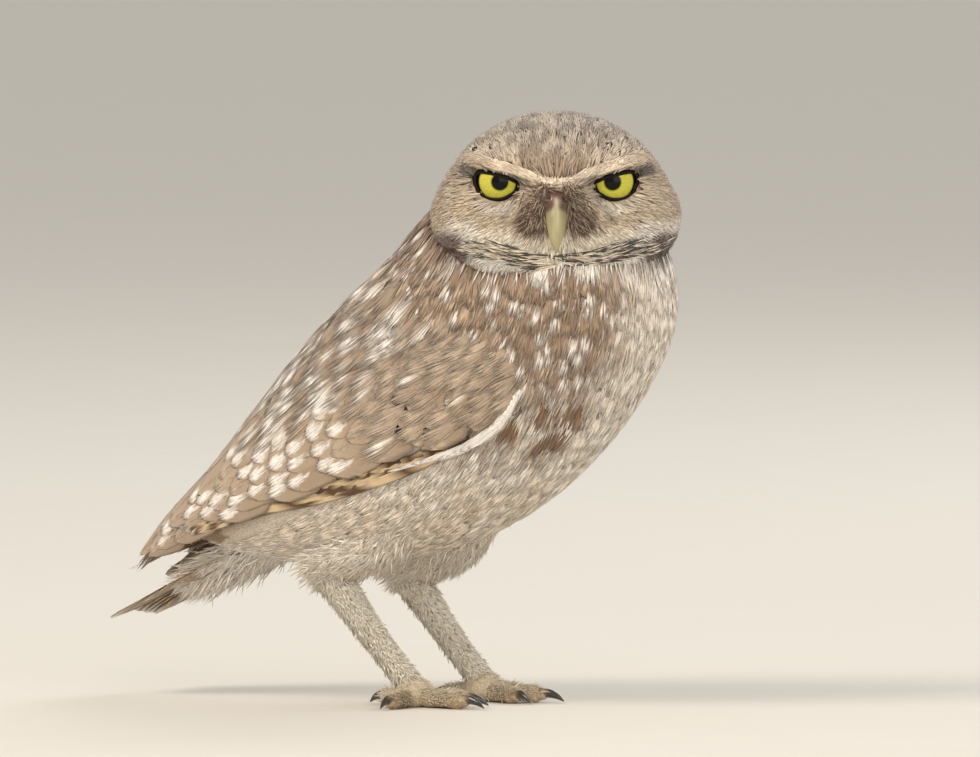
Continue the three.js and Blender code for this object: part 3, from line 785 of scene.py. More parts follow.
@dataclass
class CoatRoots(Roots):
    """Roots on a body or wing form, whose shapes bend over it."""

    form: CoatForm | None = None
    station: Array | None = None
    around: Array | None = None

    @classmethod
    def on(cls, form: CoatForm, station: Array, around: Array, heading: Array | None = None) -> "CoatRoots":
        """Roots at places on a form.

        Args:
            form: The form that they are on.
            station: Their stations.
            around: Their turns about the form.
            heading: The turn of the lie from straight along the form.

        Returns:
            The roots.
        """
        e = 0.012
        at = form.place(station, around)
        along = unit(form.place(station + e, around) - form.place(station - e, around))
        cross = form.place(station, around + e) - form.place(station, around - e)
        out = unit(np.cross(cross, along)) * (-form.side)
        inward = form.place(station, around, -1.0) - at
        out = np.where(np.sum(out * inward, -1, keepdims=True) > 0, -out, out)
        patch = np.stack([0.04 + 0.92 * np.clip(station / form.last, 0, 1), (around / (2 * np.pi)) % 1.0], -1)
        made = cls(at=at, along=along, out=out, patch=patch, form=form, station=station, around=around)
        return made if heading is None else made.turned(heading)

    @cached_property
    def inverse(self) -> Array:
        """What turns a step in space into steps of station and turn.

        Returns:
            Two rows of three for each root.
        """
        e = 0.02
        ds = ((self.form.place(self.station + e, self.around)
               - self.form.place(self.station - e, self.around)) / (2 * e))
        da = ((self.form.place(self.station, self.around + e)
               - self.form.place(self.station, self.around - e)) / (2 * e))
        j = np.stack([ds, da], -1)
        g = np.einsum("fik,fil->fkl", j, j) + np.eye(2) * 1e-6
        return np.linalg.inv(g) @ np.swapaxes(j, 1, 2)

    def put(self, local: Array) -> Array:
        """Places that follow the form's own curves.

        Args:
            local: Places by each root's own ways.

        Returns:
            The places in the owl's frame.
        """
        step = self.along[:, None] * local[..., 0, None] + self.aside[:, None] * local[..., 1, None]
        turn = np.einsum("fki,fvi->fvk", self.inverse, step)
        return self.form.place(self.station[:, None] + turn[..., 0], self.around[:, None] + turn[..., 1],
                               local[..., 2])

    def ahead(self, reach: Array) -> tuple:
        """The stations and turns of the places that lie a reach along the lie from the roots."""
        turn = np.einsum("fki,fi->fk", self.inverse, self.along * reach[:, None])
        return self.station + turn[:, 0], self.around + turn[:, 1]

    def chosen(self, pick: Array) -> "CoatRoots":
        """Only some of the roots, or each many times."""
        return CoatRoots(self.at[pick], self.along[pick], self.out[pick], self.patch[pick], None, self.form,
                         self.station[pick], self.around[pick])


@dataclass
class HeadRoots(Roots):
    """Roots on the head, in its own axes, whose shapes bend over it."""

    @classmethod
    def on(cls, way: Array, flow: Flow) -> "HeadRoots":
        """Roots in the given directions from the head's middle, with the lie that flow gives.

        Args:
            way: Directions from the head's middle.
            flow: Gives the lie.

        Returns:
            The roots.
        """
        at = HEAD.place(way)
        e = 0.03
        side = unit(np.cross(way, np.where(np.abs(way[:, :1]) > 0.8, [[0, 1.0, 0]], [[1.0, 0, 0]])))
        other = np.cross(way, side)
        a = HEAD.place(unit(way + e * side)) - HEAD.place(unit(way - e * side))
        b = HEAD.place(unit(way + e * other)) - HEAD.place(unit(way - e * other))
        out = unit(np.cross(a, b))
        out = np.where(np.sum(out * way, -1, keepdims=True) < 0, -out, out)
        theta = np.arccos(np.clip(way[:, 0], -1, 1)) / np.pi
        phi = np.arctan2(way[:, 2], way[:, 1])
        patch = 0.5 + 0.48 * theta[:, None] * np.stack([np.cos(phi), np.sin(phi)], -1)
        return cls(at=at, along=flow(at), out=out, patch=patch)

    def shown(self, length: Number, share: float = 0.55) -> Array:
        """The places, in the head's axes, where blades of given lengths come to view."""
        return self.at + unit(self.along) * (share * np.broadcast_to(length, len(self)))[:, None]

    def put(self, local: Array) -> Array:
        """Places that follow the head's own curves.

        Args:
            local: Places by each root's own ways.

        Returns:
            The places in the owl's frame.
        """
        flat = (self.at[:, None] + self.along[:, None] * local[..., 0, None] + self.aside[:, None]
                * local[..., 1, None])
        return HEAD.design(HEAD.place(unit(flat - HEAD.middle), local[..., 2]))

    def chosen(self, pick: Array) -> "HeadRoots":
        """Only some of the roots, or each many times."""
        return HeadRoots(self.at[pick], self.along[pick], self.out[pick], self.patch[pick])


def scattered(low: tuple, high: tuple, count: int, rng: Rng) -> Array:
    """Evenly spread random places in a flat range.

    Args:
        low: The range's low corner.
        high: Its high corner.
        count: About how many.
        rng: The source of chance.

    Returns:
        The places, one row each.
    """
    index = np.arange(count) + 0.5
    phi = np.stack([(index * 0.7548776662466927) % 1, (index * 0.5698402909980532) % 1], -1)
    phi = phi + rng.normal(0, 0.22 / math.sqrt(count), phi.shape)
    return np.array(low) + (phi % 1.0) * (np.array(high) - np.array(low))


def rows_on(form: CoatForm, low: float, high: float, pitch: tuple, rng: Rng) -> tuple:
    """Staggered rows of places on a form, evenly apart in space.

    Args:
        form: The form.
        low: The first station.
        high: The last station.
        pitch: How far apart along and across, in millimetres.
        rng: The source of chance that moves each place a little.

    Returns:
        The stations and the turns.
    """
    s = np.linspace(low, high, 300)
    line = (form.place(s, 0 * s + 1.2) + form.place(s, 0 * s + 2.4)) / 2
    run = run_along(line)
    stations = np.interp(np.arange(0, run[-1], pitch[0]), run, s)
    spots = []
    for k, station in enumerate(stations):
        a = np.linspace(-np.pi, np.pi, 241)
        ring = form.place(station + 0 * a, a)
        girth = run_along(ring)
        count = max(int(girth[-1] / pitch[1]), 4)
        at = (np.arange(count) + 0.5 * (k % 2) + rng.normal(0, 0.16, count)) / count % 1.0 * girth[-1]
        gap = stations[min(k + 1, len(stations) - 1)] - stations[max(k - 1, 0)]
        spots.append(np.column_stack([station + rng.normal(0, 0.09, count) * gap, np.interp(at, girth, a)]))
    spots = np.vstack(spots)
    return spots[:, 0], spots[:, 1]


def shown_as(name: str, mesh: bpy.types.ID) -> Piece:
    """A new object in the scene with a mesh, a lamp's light or a camera's lens."""
    piece = bpy.data.objects.new(name, mesh)
    bpy.context.scene.collection.objects.link(piece)
    return piece


def paint_on(mesh: Mesh, colour: Array) -> None:
    """Paints a mesh's points with linear colours."""
    tint = mesh.attributes.get("tint") or mesh.attributes.new("tint", "FLOAT_COLOR", "POINT")
    whole = np.hstack([np.clip(colour, 0, 1), np.ones((len(colour), 1))])
    tint.data.foreach_set("color", whole.astype(np.float32).ravel())


def points_of(mesh: Mesh) -> Array:
    """A mesh's points, in metres."""
    p = np.zeros(len(mesh.vertices) * 3, np.float32)
    mesh.vertices.foreach_get("co", p)
    return p.reshape(-1, 3)


@dataclass
class Pile:
    """Many small closed shapes that are joined into one mesh, with their paint."""

    points: list = field(default_factory=list)
    tints: list = field(default_factory=list)
    vanes: list = field(default_factory=list)
    patches: list = field(default_factory=list)
    faces: list = field(default_factory=list)
    # How many points there are
    count: int = 0

    @staticmethod
    def inside_out(points: Array, faces: list) -> Array:
        """Tells which shapes the face tables turn inwards, from the sign of the volume that they close.

        Args:
            points: Each shape's points.
            faces: Their face tables.

        Returns:
            True for each shape turned inwards.
        """
        q = points - points.mean(1, keepdims=True)
        volume = np.zeros(len(points))
        for table in faces:
            for k in range(1, table.shape[1] - 1):
                a, b, c = (q[:, table[:, corner]] for corner in (0, k, k + 1))
                volume += np.einsum("spi,spi->s", a, np.cross(b, c))
        return volume < 0

    def add(self, points: Array, tint: Array, vane: Array, patch: Array, faces: list) -> None:
        """Adds the same shape many times, with its faces turned outwards.

        Args:
            points: Places of each shape's points, shapes by points by 3, in millimetres.
            tint: Linear colours, shapes by points by 3.
            vane: Paint places, shapes by points by 3: along, across and a random value.
            patch: Each point's place on the unwrapped skin, shapes by points by 2.
            faces: Face tables of equal corner counts, each faces by corners.
        """
        shapes, size = points.shape[:2]
        start = self.count + np.arange(shapes)[:, None, None] * size
        turned = self.inside_out(points, faces)[:, None, None]
        for table in faces:
            rows = start + np.where(turned, table[None, :, ::-1], table[None])
            self.faces.append(rows.reshape(-1, table.shape[1]))
        self.points.append(points.reshape(-1, 3))
        self.tints.append(np.broadcast_to(tint, points.shape).reshape(-1, 3))
        self.vanes.append(vane.reshape(-1, 3))
        self.patches.append(patch.reshape(-1, 2))
        self.count += shapes * size

    def join(self, other: "Pile") -> None:
        """Takes in everything of another pile.

        Args:
            other: The pile that is taken in.
        """
        self.faces.extend(table + self.count for table in other.faces)
        for mine, its in ((self.points, other.points), (self.tints, other.tints), (self.vanes, other.vanes),
                          (self.patches, other.patches)):
            mine.extend(its)
        self.count += other.count

    def above_floor(self, near: float = 0.4) -> None:
        """Presses what would lie under the floor up on to it.

        Args:
            near: The height in millimetres below which things are pressed together.
        """
        for points in self.points:
            z = points[..., 2]
            z[z < near] = near * np.exp((z[z < near] - near) / near)

    def build(self, name: str, finish: Material, smooth: bool = True) -> Piece:
        """Makes the joined mesh.

        Args:
            name: The piece's name.
            finish: The material.
            smooth: Whether the faces are shaded as one curve.

        Returns:
            The object.
        """
        points = np.vstack(self.points)
        mesh = bpy.data.meshes.new(name)
        mesh.vertices.add(len(points))
        mesh.vertices.foreach_set("co", to_world(points).astype(np.float32).ravel())
        corners = np.concatenate([f.ravel() for f in self.faces]).astype(np.int32)
        sizes = np.concatenate([np.full(len(f), f.shape[1]) for f in self.faces])
        mesh.loops.add(len(corners))
        mesh.loops.foreach_set("vertex_index", corners)
        mesh.polygons.add(len(sizes))
        mesh.polygons.foreach_set("loop_start", np.concatenate([[0], np.cumsum(sizes)[:-1]]).astype(np.int32))
        mesh.polygons.foreach_set("use_smooth", np.full(len(sizes), smooth))
        paint_on(mesh, np.vstack(self.tints))
        vane = mesh.attributes.new("vane", "FLOAT_VECTOR", "POINT")
        vane.data.foreach_set("vector", np.vstack(self.vanes).astype(np.float32).ravel())
        layer = mesh.uv_layers.new(name="OFBake")
        layer.data.foreach_set("uv", np.vstack(self.patches)[corners].astype(np.float32).ravel())
        mesh.materials.append(finish)
        mesh.update(calc_edges=True)
        return shown_as(name, mesh)


def world_shift() -> Array:
    """How the owl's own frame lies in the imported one, in metres, from the right eye's place."""
    low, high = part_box("eye_right")
    eye = HEAD.design(np.array([HEAD.eye[0], -HEAD.eye[1], HEAD.eye[2]])) * MM
    return np.array([round((low.x + high.x) / 2 - eye[0], 4), round((low.y + high.y) / 2 - eye[1], 4), 0.0])


SHIFT = world_shift()


def to_world(p: Array) -> Array:
    """Millimetres in the owl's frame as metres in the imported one."""
    return p * MM + SHIFT


def dress(piece: Piece, slot: str, *nodes: str) -> Piece:
    """Rides a finished piece on the owl's one body and hides the solids that it stands for.

    Args:
        piece: The piece.
        slot: Not used.
        nodes: The solids that it stands for.

    Returns:
        The piece.
    """
    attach(piece, BODY)
    if nodes:
        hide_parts(*nodes)
    log.info("%s: %d faces", piece.name, len(piece.data.polygons))
    return piece


def finish_pile(pile: Pile, name: str, kind: type, slot: str = "plumage", *nodes: str,
                **settings: float) -> Piece:
    """Makes a pile's mesh in a finish of its own name, and dresses it.

    Args:
        pile: The joined shapes.
        name: The piece's name.
        kind: The class of its finish.
        slot: Not used; it is only passed on.
        nodes: The solids that it stands for.
        settings: The finish's own values.

    Returns:
        The piece.
    """
    return dress(pile.build(name, kind(name, **settings).build()), slot, *nodes)


def along_lift(lift: Number, count: int, share: Array) -> Array:
    """Extra heights along each feather, from one height or from a root's and a tip's.

    Args:
        lift: One height, or a root's and a tip's for each.
        count: How many.
        share: Where along, from 0 to 1.

    Returns:
        The heights.
    """
    ends = np.broadcast_to(np.asarray(lift, float).reshape(-1, 1 if np.ndim(lift) < 2 else 2), (count, 2))
    share = np.broadcast_to(share, (count, share.shape[-1]) if share.ndim < 3 else share.shape)
    pad = (slice(None),) + (None,) * (share.ndim - 1)
    return lerp(ends[:, 0][pad], ends[:, 1][pad], share)


def painted(roots: Roots, local: Array, u: Array, v: Array, paint: Paint, rng: Rng) -> tuple:
    """Places and paints feathers.

    Args:
        roots: Where they grow.
        local: Their points by each root's own ways.
        u: The share along of each point.
        v: The share across of each point.
        paint: Gives their colours.
        rng: The source of chance.

    Returns:
        The points, their colours, their places on the feather and on the unwrapped skin.
    """
    points = roots.put(local)
    one = np.broadcast_to(rng.random((len(roots), 1)), u.shape)
    vane = np.stack([local[..., 0], local[..., 1], one], -1)
    patch = roots.patch[:, None] + PATCH * np.stack([2 * u - 1, v], -1)
    return points, paint(u, v, points, one), vane, patch


@dataclass(frozen=True)
class Vane:
    """The form of a flat feather: a thin closed sheet with a rounded, frayed tip."""

    rings: int = 6
    columns: int = 6
    root: float = 0.45
    fullest: float = 0.4
    edge: float = 0.5
    blunt: float = 2.4
    fray: float = 0.05
    camber: float = 0.2
    thick: float = 0.22
    lift: tuple = (-0.5, 0.9)
    rise_power: float = 1.2
    crowd: float = 1.0
    ruffle: float = 0.05

    @property
    def faces(self) -> list:
        """The face tables of one feather.

        Returns:
            The tables.
        """
        n = self.columns + 2
        ring = np.arange(n)
        k = np.arange(self.rings)[:, None] * n
        wall = np.stack([k + ring, k + n + ring, k + n + (ring + 1) % n, k + (ring + 1) % n],
                        -1).reshape(-1, 4)
        return [wall, np.stack([ring, (ring + self.rings * n)[::-1]])]

    def grow(self, pile: Pile, roots: Roots, length: Array, width: Array, paint: Paint, rng: Rng,
             lift: Number = 0.0) -> None:
        """Adds a feather at each root.

        Args:
            pile: Where they go.
            roots: Where they grow.
            length: Their lengths.
            width: Their full widths.
            paint: Gives colours for a share along, a share across, the points and the feather's number.
            rng: The source of chance.
            lift: How much higher each lies.
        """
        f, k, c = len(roots), self.rings, self.columns
        share = np.linspace(0, 1, k + 1) ** self.crowd
        cross = np.linspace(-1, 1, c + 1)
        ends = 1 - self.edge * np.abs(cross) ** self.blunt + self.fray * rng.normal(size=(f, c + 1))
        along = length[:, None, None] * share[None, :, None] * ends[:, None]
        half = width[:, None] / 2 * (self.root + (1 - self.root) * smoothstep(share, 0, self.fullest))
        aside = half[..., None] * cross
        up = lerp(self.lift[0], self.lift[1], share ** self.rise_power)[None, :] + along_lift(lift, f, share)
        wave = self.ruffle * width[:, None, None] * rng.normal(size=(f, 1, c + 1)) * share[None, :, None]
        over = up[..., None] - self.camber * half[..., None] * cross ** 2 + wave
        mid = c // 2
        keel = np.stack([along[..., mid], np.zeros((f, k + 1)), over[..., mid] - self.thick], -1)
        local = np.concatenate([np.stack([along, aside, over], -1), keel[:, :, None]], 2).reshape(f, -1, 3)
        u = np.concatenate([share[None, :, None] * ends[:, None],
                            (share[None, :] * ends[:, [mid]])[..., None]], 2)
        v = np.broadcast_to(np.append(cross, 0.0), u.shape)
        u, v = u.reshape(f, -1), v.reshape(f, -1)
        pile.add(*painted(roots, local, u, v, paint, rng), self.faces)


@dataclass(frozen=True)
class Barb:
    """The form of a hair-like feather: a thin three-sided blade drawn out to a point."""

    stops: tuple = (0.0, 0.5)
    full: tuple = (0.8, 1.0)
    thick: float = 0.5

    @property
    def faces(self) -> list:
        """The face tables of one blade.

        Returns:
            The tables.
        """
        ring = np.arange(3)
        k = np.arange(len(self.stops) - 1)[:, None] * 3
        wall = np.stack([k + ring, k + 3 + ring, k + 3 + (ring + 1) % 3, k + (ring + 1) % 3],
                        -1).reshape(-1, 4)
        tip = 3 * len(self.stops)
        last = tip - 3 + ring
        return [wall, np.vstack([ring[None], np.stack([last, np.full(3, tip), np.roll(last, -1)], -1)])]

    def grow(self, pile: Pile, roots: Roots, length: Array, width: Array, paint: Paint, rng: Rng,
             low: Number = -0.4, high: Number = 1.0, bend: Number = 0.0, power: float = 1.3) -> None:
        """Adds a blade at each root.

        Args:
            pile: Where they go.
            roots: Where they grow.
            length: Their lengths.
            width: Their full widths.
            paint: Gives colours for a share along, a share across, the points and the blade's number.
            rng: The source of chance.
            low: How high the root lies.
            high: How high the tip lies.
            bend: How far the tip swings aside, in lengths.
            power: How late the blade rises.
        """
        f = len(roots)
        share = np.append(np.array(self.stops), 1.0)
        low, high, bend = (np.broadcast_to(np.asarray(x, float), (f,))[:, None] for x in (low, high, bend))
        along = length[:, None] * share
        swing = length[:, None] * bend * share ** 2
        up = low + (high - low) * share ** power
        half = width[:, None] / 2 * np.append(np.array(self.full), 0.0)
        cross = np.array([-1.0, 0.0, 1.0])
        ridge = np.array([0.0, 1.0, 0.0])
        local = np.stack(np.broadcast_arrays(along[..., None], swing[..., None] + half[..., None] * cross,
                                             up[..., None] + self.thick * half[..., None] * ridge), -1)
        local = local.reshape(f, -1, 3)[:, :3 * len(self.stops) + 1]
        u = np.repeat(share, 3)[:local.shape[1]]
        v = np.tile(cross, len(share))[:local.shape[1]]
        u, v = np.broadcast_to(u, local.shape[:2]), np.broadcast_to(v, local.shape[:2])
        pile.add(*painted(roots, local, u, v, paint, rng), self.faces)


@dataclass(frozen=True)
class Plume:
    """The form of a soft feather: long barbs that part from its root and end on a rounded, ragged outline."""

    barbs: int = 14
    start: tuple = (0.05, 0.4)
    edge: float = 0.3
    cover: float = 1.5
    thick: float = 0.3
    lift: tuple = (-0.6, 0.8)
    loose: float = 0.16
    uneven: float = 0.07

    @property
    def faces(self) -> list:
        """The face tables of one barb."""
        return Barb().faces

    def grow(self, pile: Pile, roots: Roots, length: Array, width: Array, paint: Paint, rng: Rng,
             lift: Number = 0.0) -> None:
        """Adds a plume at each root.

        Args:
            pile: Where they go.
            roots: Where they grow.
            length: Their lengths.
            width: Their full widths.
            paint: Gives colours for a share along, a share across, the points and the feather's number.
            rng: The source of chance.
            lift: How much higher each lies.
        """
        f, n = len(roots), self.barbs
        cross = np.linspace(-1, 1, n) + rng.normal(0, 0.5 / n, (f, n))
        begin = rng.uniform(*self.start, (f, n))
        end = 1 - self.edge * np.abs(cross) ** 2 + self.uneven * rng.normal(size=(f, n))
        size = np.stack([length, width / 2], -1)[:, None]
        a = np.stack([begin, (0.25 + 0.6 * begin) * cross], -1) * size
        b = np.stack([end, cross * 0.96 + 0.04 * rng.normal(size=(f, n))], -1) * size
        mid = np.stack([lerp(begin, end, 0.52), cross * 0.84], -1) * size
        way = unit(b - a)
        normal = np.stack([-way[..., 1], way[..., 0]], -1)
        half = width[:, None] / n / 2 * self.cover * rng.uniform(0.7, 1.25, (f, n))
        shares = np.stack([begin, lerp(begin, end, 0.52), end], -1)
        rise = lerp(self.lift[0], self.lift[1], shares) - 0.1 * (width[:, None] * cross ** 2)[..., None]
        rise = (rise + along_lift(lift, f, shares) + self.loose * rng.normal(size=(f, n, 1))
                * np.array([0.3, 0.7, 1.6]))
        points = []
        for k, (spot, share) in enumerate(((a, 0.8), (mid, 1.0))):
            for c, high in ((-1, 0.0), (0, self.thick), (1, 0.0)):
                flat = spot + normal * (c * share * half)[..., None]
                points.append(np.concatenate([flat, (rise[..., k] + high * half)[..., None]], -1))
        points.append(np.concatenate([b, rise[..., 2, None]], -1))
        local = np.stack(points, 2).reshape(f, n * 7, 3)
        u, v = local[..., 0] / length[:, None], local[..., 1] / (width[:, None] / 2)
        placed, tint, vane, patch = painted(roots, local, u, v, paint, rng)
        tint = tint * (0.93 + 0.14 * rng.random((f, n)).repeat(7, 1))[..., None]
        barbs = (np.ascontiguousarray(x).reshape(f * n, 7, -1) for x in (placed, tint, vane, patch))
        pile.add(*barbs, self.faces)


def tuft(roots: Roots, blades: int, spread: float, scatter: float, rng: Rng) -> tuple:
    """Each root as several, fanned and set a little apart.

    Args:
        roots: The tufts' places.
        blades: How many blades each has.
        spread: How far the blades fan, in radians.
        scatter: How far apart they root, in millimetres.
        rng: The source of chance.

    Returns:
        The roots of the blades, and the number of each one's tuft.
    """
    owner = np.repeat(np.arange(len(roots)), blades)
    many = roots.chosen(owner)
    if scatter:
        step = rng.normal(0, scatter, (len(owner), 2))
        shift = many.along * step[:, :1] + many.aside * step[:, 1:]
        if isinstance(many, HeadRoots):
            way = unit(many.at + shift - HEAD.middle)
            many = HeadRoots(HEAD.place(way), many.along, many.out, many.patch)
        elif isinstance(many, CoatRoots):
            turn = np.einsum("fki,fi->fk", many.inverse, shift)
            heading = many.along
            many = CoatRoots.on(many.form, many.station + turn[:, 0], many.around + turn[:, 1])
            many = replace(many, along=heading, aside=None)
        else:
            many = replace(many, at=many.at + shift, aside=None)
    return many.turned(rng.normal(0, spread, len(owner))), owner


def tube(points: Array, across: Array, tall: Array, upwards: Array, sides: int, power: float = 2.0) -> tuple:
    """A closed tube along a line.

    Args:
        points: The line, one row for each ring.
        across: Half the breadth at each ring.
        tall: Half the height at each ring.
        upwards: The way that the height is measured.
        sides: How many corners a ring has.
        power: 2 for round rings, more for squarer ones.

    Returns:
        The points, the face tables, each point's share along and its turn about the line.
    """
    ahead = unit(np.gradient(points, axis=0))
    side = unit(np.cross(ahead, upwards))
    top = np.cross(side, ahead)
    turn = np.linspace(0, 2 * np.pi, sides, endpoint=False)
    rings = (points[:, None] + side[:, None] * (across[:, None] * squarish(np.cos(turn), power))[..., None]
             + top[:, None] * (tall[:, None] * squarish(np.sin(turn), power))[..., None])
    count = len(points)
    ring = np.arange(sides)
    k = np.arange(count - 1)[:, None] * sides
    wall = np.stack([k + ring, k + (ring + 1) % sides, k + sides + (ring + 1) % sides, k + sides + ring], -1)
    ends = np.stack([count * sides + 0 * ring, (ring + 1) % sides, ring], -1)
    tips = np.stack([count * sides + 1 + 0 * ring, (count - 1) * sides + ring, (count - 1) * sides
                     + (ring + 1) % sides], -1)
    whole = np.vstack([rings.reshape(-1, 3), points[:1], points[-1:]])
    share = np.append(np.repeat(np.linspace(0, 1, count), sides), [0, 1])
    around = np.append(np.tile(turn, count), [0, 0])
    return whole, [wall.reshape(-1, 4), np.vstack([ends, tips])], share, around


def add_plain(pile: Pile, points: Array, faces: list, tint: Array, u: Array, v: Array) -> None:
    """Adds one larger shape to a pile, unwrapped by its share along and its turn."""
    patch = np.stack([0.05 + 0.9 * u, 0.05 + 0.9 * (v / (2 * np.pi)) % 1.0], -1)
    vane = np.stack([u, v, 0 * u + 0.5], -1)
    pile.add(points[None], np.broadcast_to(tint, points.shape)[None], vane[None], patch[None], faces)


# ---------------------------------------------------------------- markings


def head_regions(p: Array) -> dict:
    """How much of each marking, and of the painted shadow under the brow, lies at places of the head, in its
    own axes.

    Args:
        p: The places.

    Returns:
        Shares from 0 to 1 by the marking's name.
    """
    x, y, z = p[..., 0], p[..., 1], p[..., 2]
    b = np.abs(y)
    front = smoothstep(x, 6, 13)
    brow = brow_height(y)
    over = smoothstep(z - brow, 1.0, 2.6)
    collar_line = collar_height(y)
    to_eye = np.hypot(b - HEAD.eye[1], z - HEAD.eye[2])
    # The dark line runs from each eye's inner corner, outwards as it falls
    fall = np.clip((5.0 - z) / 8.0, 0, 1)
    return {
        "corner": front * bell(b, 11.8 + 4.6 * fall, 0.9) * smoothstep(z, -4.0, -2.4)
        * (1 - smoothstep(z, 5.0, 6.5)),
        "temple": front * bell(z - brow, 4.6, 3.0) * smoothstep(b, 8, 14) * (1 - smoothstep(b, 24, 30)),
        "crown": np.maximum(over, 1 - front) * smoothstep(z, -6, 6),
        "brow": front * smoothstep(z - brow, -1.9, -1.1) * (1 - smoothstep(z - brow, 0.2, 1.8))
        * smoothstep(31 - b, 0, 8),
        # A painted shadow under the brow, over the eyes
        "under_brow": front * bell(z - brow, -2.7, 1.0) * smoothstep(26 - b, 0, 6),
        "disc": front * (1 - over) * smoothstep(z, collar_line, collar_line + 1.5),
        "bristle": front * np.exp(-((((b - 8.2) / 3.1) ** 2 + ((z + 4.4) / 3.3) ** 2) ** 1.5)),
        "bridge": front * np.exp(-(((y / 6.8) ** 2 + ((z - 3.2) / 4.0) ** 2) ** 1.4)),
        "lower": front * smoothstep(-z, 3.5, 9) * smoothstep(z - collar_line, -0.5, 2.0),
        "collar": smoothstep(x, 0, 8) * bell(z - collar_line, 0.0, 1.9) * smoothstep(30 - b, 0, 6),
        "throat": smoothstep(collar_line - z, 0.8, 2.5),
        "edge": smoothstep(b, 22, 29) * (1 - smoothstep(b, 33, 36) * (y < 0)) * smoothstep(-z, 2, 7)
        * smoothstep(x, 2, 10),
        "eye": np.exp(-((to_eye / 8.6) ** 4)),
        "nape": smoothstep(-x, -4, 10) * smoothstep(-z, -8, 6),
        "to_eye": to_eye,
    }


def head_base(p: Array) -> Array:
    """The head's colour at each place before the streaks of single feathers, with a painted shadow under the
    brow.

    Args:
        p: The places.

    Returns:
        Linear colours.
    """
    r = head_regions(p)
    z = p[..., 2]
    base = mix(C.crown, C.crown_grey, smoothstep(z, 14, 27) * 0.8 * (1 - r["nape"]))
    base = mix(base, C.nape, r["nape"])
    base = mix(base, C.disc, r["disc"])
    base = mix(base, C.lore, r["disc"] * np.exp(-(((np.abs(p[..., 1]) - 11) / 4) ** 2) - ((z + 1.5) / 5) ** 2)
               * 0.6)
    base = mix(base, C.cheek, r["lower"])
    base = mix(base, C.cheek_white, r["edge"] * 0.8)
    base = mix(base, C.throat, r["throat"] * smoothstep(p[..., 0], -6, 4))
    base = mix(base, C.neck, neck_patch(p))
    base = mix(base, C.disc_dark * 0.75, np.clip(r["bridge"] * 1.1, 0, 0.85))
    # Painted shadow under the brow, in twice the lids' dark colour, away from the bill
    base = mix(base, C.lid * 2.0, np.clip(r["under_brow"] * smoothstep(np.abs(p[..., 1]), 6, 12), 0, 0.9))
    base = mix(base, C.bristle * 0.62, np.clip(r["bristle"] * 1.6, 0, 1))
    base = mix(base, C.disc_dark * 0.45, r["corner"] * 0.85)
    base = mix(base, C.brow, r["temple"] * 0.6)
    return mix(base, C.brow, np.clip(r["brow"] * 1.1, 0, 1))


def middle_share(station: Array, belly: Array, cloud: Array) -> Array:
    """How much of the white column down the breast lies at places, wider at its top."""
    wide = 0.2 * (1 - smoothstep(station, 1.2, 2.4))
    return (1 - smoothstep(belly + 0.3 * cloud - wide, 0.3, 0.6)) * smoothstep(station, 0.6, 1.4)


def body_base(station: Array, around: Array, p: Array) -> Array:
    """The body's colour at each place, before the markings of single feathers.

    Args:
        station: Where along the body.
        around: The turn from the spine line.
        p: The same places in space.

    Returns:
        Linear colours.
    """
    turn = from_spine(around)
    belly = np.pi - turn
    q = HEAD.local(p)
    cloud = noise(p, 7.0, 3) - 0.5
    breast = 1 - smoothstep(station + cloud, 4.1, 4.9)
    middle = middle_share(station, belly, cloud)
    base = mix(C.belly, C.white, np.clip(0.25 + 0.65 * noise(p, (11.0, 5.0, 5.0), 3)
                                         - 0.3 * smoothstep(station, 5, 7), 0, 1))
    base = mix(base, C.breast, breast * (1 - middle))
    side = smoothstep(belly, 0.3, 0.45) * (1 - smoothstep(belly, 1.0, 1.2))
    flank = smoothstep(station, 3.9, 4.2) * (1 - smoothstep(station, 5.2, 5.7)) * side
    base = mix(base, C.bar, flank * smoothstep(noise(p, (5.5, 5.5, 3.0), 41), 0.5, 0.58))
    back = 1 - smoothstep(turn, 1.1, 1.6)
    base = mix(base, C.mantle, back)
    base = mix(base, C.white, smoothstep(station, 9.4, 10.4) * (1 - back))
    front = smoothstep(q[..., 0], -12, 2) * (1 - back)
    top = q[..., 2] + 1.6 * cloud
    line = bell(top, -25.4, 1.1) * (1 - middle) * smoothstep(28 - np.abs(q[..., 1]), -8, 0)
    base = mix(base, C.breast_dark, line * front * 0.8)
    base = mix(base, C.throat, smoothstep(top, -25.0, -23.4) * front)
    base = mix(base, C.mantle, bell(top, -21.5, 1.6) * front * smoothstep(noise(p, 2.4, 7), 0.5, 0.7) * 0.6)
    hind = 1 - smoothstep(q[..., 0], -14, 2)
    base = mix(base, C.nape, hind * smoothstep(q[..., 2], -34, -22) * 0.6)
    return mix(base, C.neck, neck_patch(q))


def neck_patch(q: Array) -> Array:
    """How much of the dark patch at each side of the neck lies at places in the head's axes.

    Args:
        q: The places.

    Returns:
        How much of it there is, from 0 to 1.
    """
    b = np.abs(q[..., 1])
    down = q[..., 2] + 13.8 + 0.12 * (b - 33)
    patch = np.exp(-((((b - 33.5) / 7.5) ** 2 + (down / 6.0) ** 2) ** 1.6))
    return np.clip(1.4 * patch * smoothstep(q[..., 0], -18, -8) * (1 - smoothstep(q[..., 0], 19, 24)), 0, 1)


# ---------------------------------------------------------------- skin


